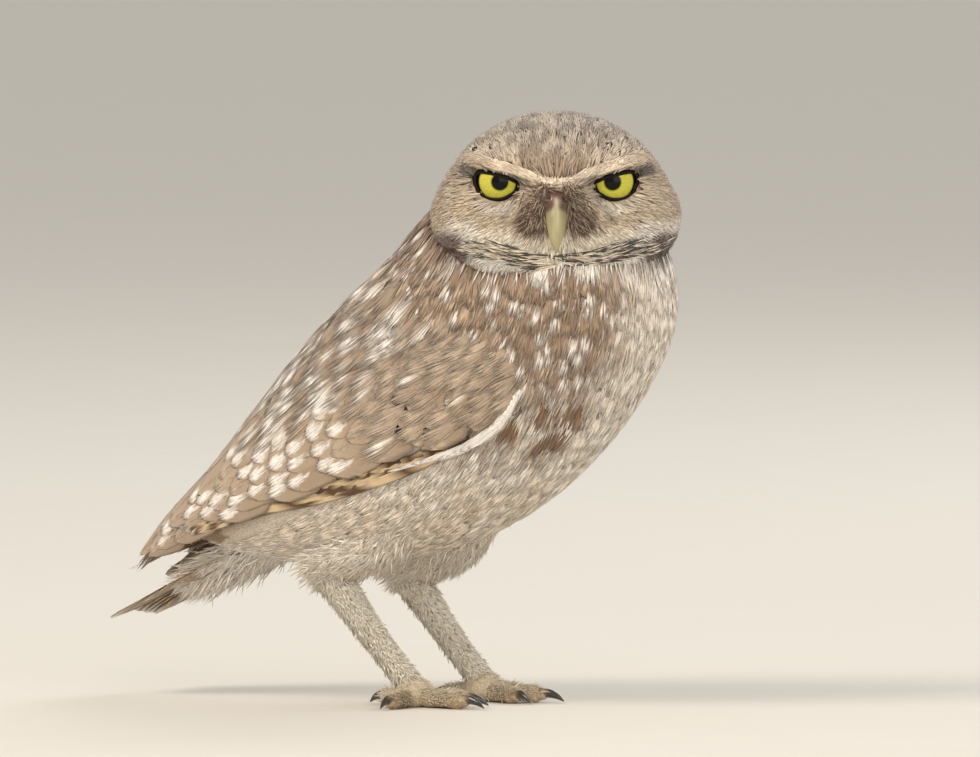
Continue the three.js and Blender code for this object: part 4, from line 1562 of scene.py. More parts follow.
def closed(rings: Array) -> tuple:
    """A tube of rings closed at both ends by a middle point.

    Args:
        rings: The corners, rings by corners by 3.

    Returns:
        The points and the face tables.
    """
    rows, columns = rings.shape[:2]
    n = rows * columns
    points = np.vstack([rings.reshape(-1, 3), rings[0].mean(0)[None], rings[-1].mean(0)[None]])
    row = np.arange(rows - 1)[:, None] * columns
    c = np.arange(columns)
    after = (c + 1) % columns
    wall = np.stack([row + c, row + columns + c, row + columns + after, row + after], -1).reshape(-1, 4)
    first = np.stack([np.full(columns, n), c, after], -1)
    last = np.stack([np.full(columns, n + 1), n - columns + after, n - columns + c], -1)
    return points, [wall, np.vstack([first, last])]


# The wing's upper edge, as a turn from the spine line, and how much further its coverts run, to the middle
WING_TOP = math.radians(27)
WING_OVERLAP = math.radians(33)
# The station of the wing's tip
WING_END = 9.4


def wing_around(station: Array, across: Array) -> Array:
    """How far round the body a place across the wing lies, 0 at its lower edge and 1 at its upper."""
    bottom = math.radians(90) + math.radians(43) * np.exp(-(station - 4) / 2.7)
    return lerp(np.minimum(bottom, math.radians(150)), WING_TOP, across)


def wing_front(across: Array) -> Array:
    """The station of the wing's front edge, from the wrist, below, to the shoulder."""
    return 1.7 + 2.3 * np.clip(1 - across, 0, 1) ** 1.3


def wing_sink(station: Array, across: Array) -> Array:
    """How far the wing's bed lies below its outer form."""
    share = (station - wing_front(across)) / (9.2 - wing_front(across))
    return 1.1 + 3.6 * (1 - smoothstep(share, 0, 0.16)) + 2.6 * smoothstep(across, 0.75, 1)


@dataclass(frozen=True)
class Limb:
    """A leg's line from its upper end to its lower, with two radii at each stop."""

    stops: tuple
    radii: tuple
    upwards: tuple = (1.0, 0.0, 1.0)

    def line(self, share: Array) -> tuple:
        """Middle points and both radii at shares of the length."""
        t = np.asarray(share) * (len(self.stops) - 1)
        r = smooth_at(self.radii, np.asarray(share) * (len(self.radii) - 1))
        return smooth_at(self.stops, t), r[..., 0], r[..., 1]

    def roots(self, share: Array, turn: Array) -> Roots:
        """Places on the limb for feathers that lie down along it.

        Args:
            share: Where along, from 0 to 1.
            turn: The turn about the line.

        Returns:
            The roots.
        """
        at, across, tall = self.line(share)
        ahead = unit(self.line(share + 0.01)[0] - self.line(share - 0.01)[0])
        side = unit(np.cross(ahead, np.array(self.upwards)))
        top = np.cross(side, ahead)
        out = side * np.cos(turn)[:, None] + top * np.sin(turn)[:, None]
        where = at + side * (across * np.cos(turn))[:, None] + top * (tall * np.sin(turn))[:, None]
        patch = np.stack([0.05 + 0.9 * share, (turn / (2 * np.pi)) % 1.0], -1)
        return Roots(at=where, along=ahead, out=out, patch=patch)


def thigh_limb(knee: tuple, heel: tuple) -> Limb:
    """The feathered thigh.

    Args:
        knee: Where it starts.
        heel: Where it ends.

    Returns:
        The limb.
    """
    knee, heel = np.array(knee, float), np.array(heel, float)
    bend = (knee + heel) / 2 + np.array([2, 0, -3])
    return Limb(stops=tuple(map(tuple, (knee, bend, heel))),
                radii=((9, 9), (10.5, 10.5), (10.8, 10.2), (9.4, 8.8), (6.6, 6.6)))


def tarsus_limb(heel: tuple, ankle: tuple) -> Limb:
    """The shank below the heel.

    Args:
        heel: Where it starts.
        ankle: Where it ends.

    Returns:
        The limb.
    """
    heel, ankle = np.array(heel, float), np.array(ankle, float)
    top, mid = heel + np.array([-1.5, 0, 2]), (heel + ankle) / 2 + np.array([-0.5, 0, -0.3])
    return Limb(stops=tuple(map(tuple, (top, mid, ankle))),
                radii=((6.8, 7.4), (5.6, 6.0), (4.7, 5.0), (4.4, 4.7), (4.5, 4.8)))


@dataclass(frozen=True)
class Leg:
    """One leg's joints."""

    side: Side
    knee: tuple
    heel: tuple
    ankle: tuple

    @property
    def thigh(self) -> Limb:
        """The thigh's form."""
        return thigh_limb(self.knee, self.heel)

    @property
    def tarsus(self) -> Limb:
        """The shank's form."""
        return tarsus_limb(self.heel, self.ankle)


LEGS = (Leg(Side.RIGHT, (4, -15, 72), (-32.5, -19.5, 45.6), (-1.5, -17, 6.5)),
        Leg(Side.LEFT, (10, 15, 68), (-24, 19.5, 43.4), (6.5, 17, 6.5)))
TAIL_BED = Limb(stops=((-44, 0, 61), (-60, 0, 54), (-76, 0, 45.5), (-90, 0, 38), (-97, 0, 34.2)),
                radii=((15, 9), (14.5, 8.5), (13, 6), (10.5, 3.2), (6, 1.6)), upwards=(0.0, 0.0, 1.0))
FLESH = ("torso", "neck", "head", "wing_right", "wing_left", "tail", "thigh_right", "thigh_left",
         "tarsus_right", "tarsus_left")


@dataclass(frozen=True)
class EyeFrame:
    """One eye's own ways: forward out of the socket, across away from the bill, and up."""

    side: Side
    outward: float = math.radians(3.5)
    radius: float = 9.0
    # The line where the lids meet the eye, seen from ahead: towards the bill, and up
    lid_line: tuple = ((7.0, -1.5), (5.8, -0.4), (3.4, 0.75), (0.6, 1.6), (-2.6, 2.35), (-5.2, 2.7),
                       (-6.8, 1.8), (-7.1, 0.1), (-6.3, -2.6), (-4.6, -4.5), (-1.6, -5.5), (1.6, -5.3),
                       (4.4, -3.9), (6.2, -2.6))

    @property
    def centre(self) -> Array:
        """The eye's middle in the head's axes."""
        return np.array([HEAD.eye[0], self.side.value * HEAD.eye[1], HEAD.eye[2]])

    @property
    def ways(self) -> Array:
        """The eye's own ways in the head's axes.

        Returns:
            Rows for forward, away from the bill and up.
        """
        a = self.outward * self.side.value
        forward = np.array([math.cos(a), math.sin(a), 0.0])
        return np.stack([forward, self.side.value * np.array([-math.sin(a), math.cos(a), 0.0]),
                         [0.0, 0.0, 1.0]])

    def local(self, p: Array) -> Array:
        """Places in the head's axes by the eye's own ways."""
        return (p - self.centre) @ self.ways.T

    def head(self, q: Array) -> Array:
        """Places by the eye's own ways in the head's axes."""
        return q @ self.ways + self.centre

    def lids(self, turn: Array, grow: float = 0.0) -> Array:
        """Points of the lid line, away from the bill and up, moved outwards by grow.

        Args:
            turn: The turn round the eye's middle.
            grow: How far outside the eye's own edge.

        Returns:
            The points.
        """
        rows = np.array(self.lid_line) * [-1, 1]
        t = (turn / (2 * np.pi)) % 1.0 * len(rows)
        looped = np.vstack([rows[-2:], rows, rows[:3]])
        p = smooth_at(looped, t + 2)
        ahead = unit(smooth_at(looped, t + 2.05) - smooth_at(looped, t + 1.95))
        return p + grow * np.stack([ahead[..., 1], -ahead[..., 0]], -1) * self.turning

    @property
    def turning(self) -> float:
        """1 where the lid line runs against the clock, and -1 where it runs with it."""
        rows = np.array(self.lid_line) * [-1, 1]
        x, y = rows[:, 0], rows[:, 1]
        return float(np.sign(np.sum(x * np.roll(y, -1) - np.roll(x, -1) * y)))

    def open_share(self, q: Array, grow: float = 0.0) -> Array:
        """Whether each place by the eye's own ways is seen between the lids.

        Args:
            q: The places.
            grow: How far past the lids' edge still counts.

        Returns:
            True or false for each.
        """
        line = self.lids(np.linspace(0, 2 * np.pi, 96, endpoint=False), grow)
        angle = np.arctan2(line[:, 1], line[:, 0])
        order = np.argsort(angle)
        reach = np.hypot(line[:, 0], line[:, 1])[order]
        at = np.arctan2(q[..., 2], q[..., 1])
        edge = np.interp(at, angle[order], reach, period=2 * np.pi)
        return (np.hypot(q[..., 1], q[..., 2]) < edge) & (q[..., 0] > 0)


EYES = tuple(EyeFrame(side) for side in Side)


@dataclass(frozen=True)
class Skin:
    """The owl's one skin under its feathers, from head to shanks, drawn out of simple forms."""

    voxel: float = 1.5
    body_rise: float = -2.6
    head_rise: float = -1.6
    wing_rise: float = -1.4
    eye_floor: float = 8.5

    def body(self) -> tuple:
        """The torso and neck."""
        s, a = np.meshgrid(np.linspace(0, BODY_FORM.last, 60), np.linspace(0, 2 * np.pi, 72, endpoint=False),
                           indexing="ij")
        return closed(BODY_FORM.place(s, a, self.body_rise))

    def head(self) -> tuple:
        """The head."""
        theta, phi = np.meshgrid(np.linspace(0.02, np.pi - 0.02, 90),
                                 np.linspace(0, 2 * np.pi, 120, endpoint=False), indexing="ij")
        return closed(HEAD.design(HEAD.place(sphere_grid(theta, phi), self.head_rise)))

    def wing(self, side: Side) -> tuple:
        """A wing's bed, as a slab closed all round.

        Args:
            side: The owl's side.

        Returns:
            The points and the face tables.
        """
        form = replace(WING_FORM, side=side.value)
        c, r = np.meshgrid(np.linspace(0, 1, 24), np.linspace(0, 1, 40))
        station = lerp(wing_front(c), WING_END, r)
        around = wing_around(station, c)
        over = form.place(station, around, -wing_sink(station, c) + self.wing_rise)
        under = form.place(station, around, -9.0)
        return closed(np.concatenate([over, under[:, ::-1]], axis=1))

    def limb(self, limb: Limb, rise: float) -> tuple:
        """A leg part."""
        at, across, tall = limb.line(np.linspace(0, 1, 24))
        points, faces, _, _ = tube(at, across + rise, tall + rise, np.array(limb.upwards), 20)
        return points, faces

    def tail(self) -> tuple:
        """The flesh at the tail's root.

        Returns:
            The points and the face tables.
        """
        t = np.linspace(0, 3.4, 18)
        at, radii = smooth_at(TAIL_BED.stops, t), smooth_at(TAIL_BED.radii, t)
        points, faces, _, _ = tube(at, radii[:, 0] - 1.5, radii[:, 1] - 1.5, np.array([0, 0, 1.0]), 24)
        return points, faces

    def forms(self) -> list:
        """Every closed form that the skin is drawn over."""
        legs = [self.limb(leg.thigh, -1.8) for leg in LEGS] + [self.limb(leg.tarsus, -0.9) for leg in LEGS]
        return [self.body(), self.head(), self.tail(), *(self.wing(side) for side in Side), *legs]

    def colour(self, p: Array) -> Array:
        """The skin's tint, the same as that of the feathers over it but darker, as painted shade between the
        feathers.

        Args:
            p: The places.

        Returns:
            Linear colours.
        """
        marks, tints = [], []
        s, a = np.meshgrid(np.linspace(0, 12, 70), np.linspace(0, 2 * np.pi, 90), indexing="ij")
        at = BODY_FORM.place(s, a)
        marks.append(at.reshape(-1, 3))
        tints.append(body_base(s, a, at).reshape(-1, 3))
        head = HEAD.place(sunflower(9000))
        marks.append(HEAD.design(head))
        tints.append(head_base(head))
        for side in Side:
            form = replace(WING_FORM, side=side.value)
            c, st = np.meshgrid(np.linspace(0, 1, 30), np.linspace(2, WING_END, 60))
            marks.append(form.place(st, wing_around(st, c)).reshape(-1, 3))
            tints.append(np.broadcast_to(C.wing_dark, (c.size, 3)))
        for leg in LEGS:
            for limb, tint in ((leg.thigh, C.belly), (leg.tarsus, C.leg_shade)):
                roots = limb.roots(np.tile(np.linspace(0, 1, 20), 12), np.repeat(np.linspace(0, 6, 12), 20))
                marks.append(roots.at)
                tints.append(np.broadcast_to(tint, roots.at.shape))
        marks, tints = np.vstack(marks), np.vstack(tints)
        tree = KDTree(len(marks))
        for i, m in enumerate(marks):
            tree.insert(m, i)
        tree.balance()
        near = np.array([tree.find(q)[1] for q in p])
        # Painted shade: the skin is a fifth darker than the feathers over it, for the shade that falls
        # between them
        return tints[near] * 0.8

    def build(self) -> None:
        """Draws the skin over its forms, opens it at the eyes and paints it."""
        pile = Pile()
        for points, faces in self.forms():
            add_plain(pile, points, faces, C.skin, np.zeros(len(points)), np.zeros(len(points)))
        piece = pile.build("skin", Hide("bare_skin").build())
        remesh = piece.modifiers.new("drawn_over", "REMESH")
        remesh.mode = "VOXEL"
        remesh.voxel_size = self.voxel * MM
        ease = piece.modifiers.new("eased", "SMOOTH")
        ease.factor, ease.iterations = 0.5, 6
        mesh = bpy.data.meshes.new_from_object(piece.evaluated_get(bpy.context.evaluated_depsgraph_get()))
        bpy.data.objects.remove(piece)
        p = (points_of(mesh).astype(float) - SHIFT) / MM
        local = HEAD.local(p)
        for eye in EYES:
            q = eye.local(local)
            reach = np.linalg.norm(q, axis=1)
            hit = eye.open_share(q, 0.6) & (reach < 13)
            q[hit] *= (self.eye_floor / reach[hit])[:, None]
            p[hit] = HEAD.design(eye.head(q[hit]))
        mesh.vertices.foreach_set("co", to_world(p).astype(np.float32).ravel())
        for name in [a.name for a in mesh.attributes if a.name in ("tint", "vane")]:
            mesh.attributes.remove(mesh.attributes[name])
        paint_on(mesh, self.colour(p))
        mesh.materials.clear()
        mesh.materials.append(Hide("bird_skin").build())
        mesh.polygons.foreach_set("use_smooth", np.full(len(mesh.polygons), True))
        dress(shown_as("skin", mesh), "plumage", *FLESH)


# ---------------------------------------------------------------- head


def sphere_ways(count: int, rng: Rng) -> Array:
    """Evenly spread directions, each moved a little by chance."""
    way = sunflower(count)
    return unit(way + rng.normal(0, 0.9 / math.sqrt(count), way.shape))


def head_flow(p: Array) -> Array:
    """The lie of the head's feathers at places in its own axes.

    Args:
        p: The places.

    Returns:
        The ways.
    """
    x, y, z = p[:, 0], p[:, 1], p[:, 2]
    s = np.where(y >= 0, 1.0, -1.0)
    r = head_regions(p)
    zero = np.zeros_like(x)
    from_eye = unit(np.stack([zero, y - s * HEAD.eye[1], z - HEAD.eye[2]], -1))
    from_bill = unit(np.stack([zero, y, z - 1.0], -1))
    near = np.exp(-((r["to_eye"] / 9.0) ** 2))
    disc = unit(from_eye * (0.35 + 0.65 * near)[:, None] + from_bill * (0.9 - 0.7 * near)[:, None]
                + np.stack([-0.3 + zero, 0.25 * s, -0.1 + zero], -1))
    aside = np.clip(y / 3.5, -1, 1)
    brow = np.stack([zero - 0.15, aside * 1.2, 0.6 - 0.25 * np.abs(aside)], -1)
    crown = np.stack([-1 + zero, y / 40, 0.9 + 0 * z], -1)
    nape = np.stack([-0.35 + zero, zero, -1 + zero], -1)
    collar = np.stack([-0.5 + zero, s * np.clip(np.abs(y) / 9, 0.1, 1), 0.2 * np.exp(-((y / 15) ** 2))
                       - 0.25], -1)
    throat = np.stack([-0.3 + zero, 0.3 * y / 20, -1 + zero], -1)
    way = crown
    back = smoothstep(-x, -2, 16)
    way = way * (1 - back)[:, None] + nape * back[:, None]
    for flow, share in ((disc, r["disc"]), (brow, r["brow"]), (throat, r["throat"]), (collar, r["collar"])):
        way = way * (1 - share)[:, None] + flow * share[:, None]
    toward = np.sum(unit(way) * from_eye, -1)
    guard = smoothstep(x, 0, 8) * np.exp(-((r["to_eye"] / 12.5) ** 4)) * np.clip(0.45 - toward, 0, 2)
    way = unit(way) + from_eye * guard[:, None]
    cheek = smoothstep(-x, -8, 0) * smoothstep(-z, -8, 4)
    way = way * (1 - 0.7 * cheek)[:, None] + np.array([-0.7, 0, -1.0]) * (0.7 * cheek)[:, None]
    return way


def clear_of_eyes(roots: HeadRoots, length: Array) -> Array:
    """Which blades of given lengths stay off the open eyes."""
    shown = [roots.shown(length, share) for share in (0.3, 0.65, 1.0)]
    return ~np.any([eye.open_share(eye.local(p), 1.0) for eye in EYES for p in shown], axis=0)


@dataclass(frozen=True)
class HeadCoat:
    """The head's feathers: the hair-like ones of the face, and small soft vanes over crown and nape."""

    face_tufts: int = 6200
    brow_tries: int = 90000
    crown_tufts: int = 3400
    collar_blades: int = 1150
    # The rows of the collar lie this far apart in height
    collar_gap: float = 0.85
    ruff_tufts: int = 6000
    seed: int = 11

    def roots(self, count: int, rng: Rng) -> HeadRoots:
        """Roots all over the head, clear of the eyes, the bill and the neck.

        Args:
            count: How many directions are tried.
            rng: The source of chance.

        Returns:
            The roots.
        """
        roots = HeadRoots.on(sphere_ways(count, rng), head_flow)
        p = roots.at
        keep = p[:, 2] > -27
        for eye in EYES:
            keep &= ~eye.open_share(eye.local(p), 1.35) | (np.linalg.norm(eye.local(p), axis=1) > 14)
        bill = (np.abs(p[:, 1]) < 2.4) & (p[:, 2] < 5.0) & (p[:, 2] > -7) & (p[:, 0] > 15)
        return roots.chosen(np.flatnonzero(keep & ~bill))

    def face_paint(self, base: Array, kind: Array) -> Paint:
        """Colours for face blades from each one's place and its own kind.

        Args:
            base: The colour that they start from.
            kind: Each blade's own number from 0 to 1.

        Returns:
            What gives the colours.
        """
        def paint(u: Array, v: Array, p: Array, one: Array) -> Array:
            """Paler towards the tip, with the blade's own depth."""
            tint = base[:, None] * (0.82 + 0.3 * u)[..., None]
            return tint * (0.8 + 0.4 * kind[:, None])[..., None]
        return paint

    def face(self, side: Side) -> None:
        """One half of the face: fine blades that lie away from eye and bill.

        Args:
            side: The owl's side.
        """
        rng = np.random.default_rng(self.seed + side.value)
        roots = self.roots(self.face_tufts * 2, rng)
        r = head_regions(roots.at)
        front = (roots.at[:, 0] > 5) & (roots.at[:, 1] * side.value > 0) & (r["crown"] < 0.5)
        roots = roots.chosen(np.flatnonzero(front))
        many, owner = tuft(roots, 3, 0.16, 0.45, rng)
        r = head_regions(many.at)
        fine = 1 - np.exp(-((r["to_eye"] / 10.0) ** 2))
        length = lerp(2.2, 6.4, fine) * rng.uniform(0.8, 1.2, len(many))
        length = length * (1 - 0.25 * r["brow"])
        pick = np.flatnonzero(clear_of_eyes(many, length) & (r["brow"] < 0.25))
        many, owner, length, fine = many.chosen(pick), owner[pick], length[pick], fine[pick]
        shown = many.shown(length)
        r = head_regions(shown)
        width = lerp(0.42, 0.74, fine) * rng.uniform(0.8, 1.25, len(many))
        kind = rng.random(len(many))
        group = rng.random(len(roots))[owner]
        base = head_base(shown)
        streak = noise(shown, (2.2, 1.3, 1.3), 5) * 0.6 + group * 0.4
        base = mix(base, C.disc_dark, r["disc"] * (1 - r["lower"]) * (1 - r["brow"])
                   * smoothstep(streak, 0.55, 0.8) * 0.55)
        base = mix(base, C.lore, r["disc"] * (1 - r["bristle"]) * smoothstep(1 - streak, 0.6, 0.85) * 0.6)
        corner = np.exp(-(((np.abs(many.at[:, 1]) - 27.5) / 2.6) ** 2) - ((many.at[:, 2] - 11.4) / 1.3) ** 2)
        base = mix(base, C.collar, np.clip(corner * 1.4, 0, 0.9))
        base = mix(base, C.cheek_white, bell(r["to_eye"], 9.0, 1.6) * smoothstep(8 - many.at[:, 2], 0, 6)
                   * 0.45)
        pile = Pile()
        Barb(stops=(0.0, 0.35, 0.7), full=(0.75, 1.0, 0.7)).grow(
            pile, many, length, width, self.face_paint(base, kind), rng, low=-0.5,
            high=rng.uniform(0.4, 1.1, len(many)) * lerp(0.6, 1.0, fine), bend=rng.normal(0, 0.05, len(many)))
        finish_pile(pile, f"face_feathers_{side.word}", Down)

    def brow(self) -> None:
        """The smooth cream band over bill and eyes: long fine blades that all lie along it."""
        rng = np.random.default_rng(self.seed + 21)
        roots = HeadRoots.on(sphere_ways(self.brow_tries, rng), head_flow)
        r = head_regions(roots.at)
        pick = ((r["brow"] > rng.uniform(0.15, 0.75, len(roots))) & (np.abs(roots.at[:, 1]) < 28)
                & (roots.at[:, 0] > 8))
        roots = roots.chosen(np.flatnonzero(pick))
        y = roots.at[:, 1]
        rise = (brow_height(np.abs(y) + 1.5) - brow_height(np.abs(y))) / 1.5
        s = np.where(y + rng.normal(0, 1.0, len(y)) > 0, 1.0, -1.0)
        lie = np.stack([-0.02 * np.abs(y), s, rise + 0.04 - 0.1 * (s * y < 0)
                        + rng.normal(0, 0.05, len(y))], -1)
        roots = replace(roots, along=lie, aside=None)
        f = len(roots)
        length = rng.uniform(4.0, 7.0, f) * (1 - 0.4 * np.exp(-((y / 5) ** 2)))
        shown = roots.shown(length)
        mottled = smoothstep(noise(shown, (2.5, 2.5, 1.0), 46), 0.45, 0.75) * 0.45
        base = mix(C.brow, C.crown, 0.55 * smoothstep(np.abs(shown[:, 1]), 17, 28) + mottled
                   + 0.15 * rng.random(f))
        pile = Pile()
        Barb(stops=(0.0, 0.4, 0.8), full=(0.6, 1.0, 0.8)).grow(
            pile, roots, length, rng.uniform(0.5, 0.8, f), self.face_paint(base, 0.3 + 0.4 * rng.random(f)),
            rng, low=-0.2, high=rng.uniform(0.5, 1.0, f), bend=rng.normal(0, 0.03, f))
        finish_pile(pile, "brow_feathers", Down)

    def crown_roots(self, rng: Rng) -> HeadRoots:
        """Roots over the crown, the sides and the nape."""
        roots = self.roots(self.crown_tufts, rng)
        high = head_regions(roots.at)["crown"] > 0.35
        return roots.chosen(np.flatnonzero(high | (roots.at[:, 0] < 8)))

    def crown_paint(self, base: Array, kind: Array) -> Paint:
        """Colours over the crown: cream dashes along the lie, and small dark flecks that gather at the top.

        Args:
            base: The colour that they start from.
            kind: Each feather's own number from 0 to 1.

        Returns:
            What gives the colours.
        """
        def paint(u: Array, v: Array, p: Array, one: Array) -> Array:
            """The place's own colour with its dash or fleck.

            Args:
                u: The share along.
                v: The share across.
                p: The places.
                one: Each feather's own number from 0 to 1.

            Returns:
                Linear colours.
            """
            q = HEAD.local(p)
            top = smoothstep(q[..., 2], 8, 26)
            tint = base[:, None] * (0.86 + 0.2 * u + 0.14 * (kind[:, None] - 0.5))[..., None]
            dash = smoothstep(noise(q, (4.4, 2.0, 3.4), 31) + 0.12 * (one - 0.5), 0.5, 0.6)
            tint = mix(tint, C.crown_light, dash * (0.8 - 0.35 * top))
            fleck = smoothstep(noise(q, (2.6, 1.6, 2.4), 32), 0.56, 0.72)
            return mix(tint, C.crown_dark, fleck * (0.3 + 0.35 * top) * (1 - dash))
        return paint

    def crown(self) -> None:
        """Small overlapping vanes over the crown, the sides and the nape."""
        rng = np.random.default_rng(self.seed + 5)
        roots = self.crown_roots(rng)
        roots = roots.turned(rng.normal(0, 0.22, len(roots)))
        f = len(roots)
        hind = smoothstep(-roots.at[:, 0], -10, 15)
        length = lerp(6.4, 10.0, hind) * rng.uniform(0.85, 1.15, f)
        width = lerp(2.9, 4.8, hind) * rng.uniform(0.85, 1.15, f)
        pile = Pile()
        vane = Vane(rings=3, columns=4, root=0.5, fray=0.1, lift=(-0.9, -0.1), camber=0.12, edge=0.55,
                    blunt=1.9, ruffle=0.03, thick=0.3)
        vane.grow(pile, roots, length, width,
                  self.crown_paint(head_base(roots.shown(length, 0.7)), rng.random(f)), rng)
        finish_pile(pile, "crown_feathers", Down)

    def fringe(self) -> None:
        """Fine blades between the crown's vanes that soften their tips."""
        rng = np.random.default_rng(self.seed + 9)
        roots = self.crown_roots(rng)
        many, _ = tuft(roots, 5, 0.18, 0.9, rng)
        hind = smoothstep(-many.at[:, 0], -10, 15)
        length = lerp(4.4, 8.0, hind) * rng.uniform(0.8, 1.2, len(many))
        base = head_base(many.shown(length))
        pile = Pile()
        Barb().grow(pile, many, length, lerp(0.5, 0.75, hind) * rng.uniform(0.8, 1.2, len(many)),
                    self.crown_paint(base, rng.random(len(many))), rng, low=-0.6,
                    high=rng.uniform(0.1, 0.7, len(many)), bend=rng.normal(0, 0.06, len(many)))
        finish_pile(pile, "crown_barbs", Down)

    def collar(self) -> None:
        """The thin dark lines that cross under the chin from cheek to cheek, with cream ones between."""
        rng = np.random.default_rng(self.seed + 13)
        count = self.collar_blades
        y = rng.normal(1.5, 14.5, count)
        row = np.round(rng.uniform(-0.5, 4.5, count))
        z = (collar_height(y) + (row - 2) * self.collar_gap + 0.3 * np.sin(y * 0.35 + row * 2)
             + rng.normal(0, 0.13, count))
        keep = (y > -23) & (y < 30) & (rng.random(count) > 0.05 * np.maximum(np.abs(y - 3) - 14, 0))
        y, z, row = y[keep], z[keep], row[keep]
        way = unit(np.stack([np.sqrt(np.maximum(27 ** 2 - 0.55 * y * y, 9)), y, z - HEAD.level], -1))
        s = np.where(y + rng.normal(0, 2.5, len(y)) > 0, 1.0, -1.0)
        slope = collar_height(y + s) - collar_height(y)
        flow = np.stack([-0.02 * np.abs(y), s, slope + rng.normal(0, 0.07, len(y))], -1)
        roots = HeadRoots.on(way, lambda p: flow)
        f = len(y)
        dark = ((row % 2 == 0) ^ (rng.random(f) < 0.16)) & (rng.random(f) < 0.9)
        base = np.where(dark[:, None], C.collar * rng.uniform(0.6, 2.2, (f, 1)),
                        mix(C.cheek, C.disc, rng.random(f)))
        pile = Pile()
        Barb(stops=(0.0, 0.3, 0.75), full=(0.5, 1.0, 0.8)).grow(
            pile, roots, rng.uniform(7, 14, f), rng.uniform(0.4, 0.75, f),
            self.face_paint(base, rng.random(f)), rng, low=0.1, high=rng.uniform(0.7, 1.7, f),
            bend=rng.normal(0, 0.05, f))
        finish_pile(pile, "collar_feathers", Down)

    def ruff(self) -> None:
        """Long soft blades at the head's lower edge that hang over the neck and hide where they meet."""
        rng = np.random.default_rng(self.seed + 17)
        roots = self.roots(self.ruff_tufts, rng)
        p = roots.at
        low = (smoothstep(collar_height(p[:, 1]) - p[:, 2], 0.0, 2.0) + (p[:, 0] < 12)
               * smoothstep(-p[:, 2], 4, 11))
        roots = roots.chosen(np.flatnonzero((low > 0.4) & (p[:, 2] < -8)))
        down = np.array([-0.25, 0.0, -1.0]) + roots.at[:, [1]] / 60 * np.array([0.0, 1.0, 0.0])
        roots = replace(roots, along=down, aside=None)
        many, owner = tuft(roots, 5, 0.22, 1.0, rng)
        f = len(many)
        group = rng.random(len(roots))[owner]
        length = rng.uniform(4.5, 11.0, f)
        shown = many.shown(length, 0.65)
        base = head_base(shown)
        plain = 1 - neck_patch(shown)
        base = mix(base, C.crown_light, (group < 0.3) * 0.6 * plain)
        base = mix(base, C.mantle_dark, (group > 0.85) * 0.45 * plain)
        plain_paint = self.face_paint(base, rng.random(f))

        def paint(u: Array, v: Array, p: Array, one: Array) -> Array:
            """The face's colours, which turn brown where the blades hang over the breast.

            Args:
                u: The share along.
                v: The share across.
                p: The places.
                one: Each feather's own number from 0 to 1.

            Returns:
                Linear colours.
            """
            q = HEAD.local(p)
            over = smoothstep(-q[..., 2] + 2.5 * (one - 0.5), 21.0, 23.5) * smoothstep(8 - q[..., 1], 0, 6)
            tint = plain_paint(u, v, p, one)
            return mix(tint, C.breast, over * smoothstep(q[..., 0], -6, 4))

        pile = Pile()
        Barb().grow(pile, many, length, rng.uniform(0.4, 0.65, f), paint, rng, low=-0.6,
                    high=rng.uniform(0.2, 1.3, f), bend=rng.normal(0, 0.07, f))
        finish_pile(pile, "ruff_feathers", Down)

    def build(self) -> None:
        """Makes brow, face, collar, ruff and crown."""
        self.brow()
        for side in Side:
            self.face(side)
        self.collar()
        self.ruff()
        self.crown()
        self.fringe()


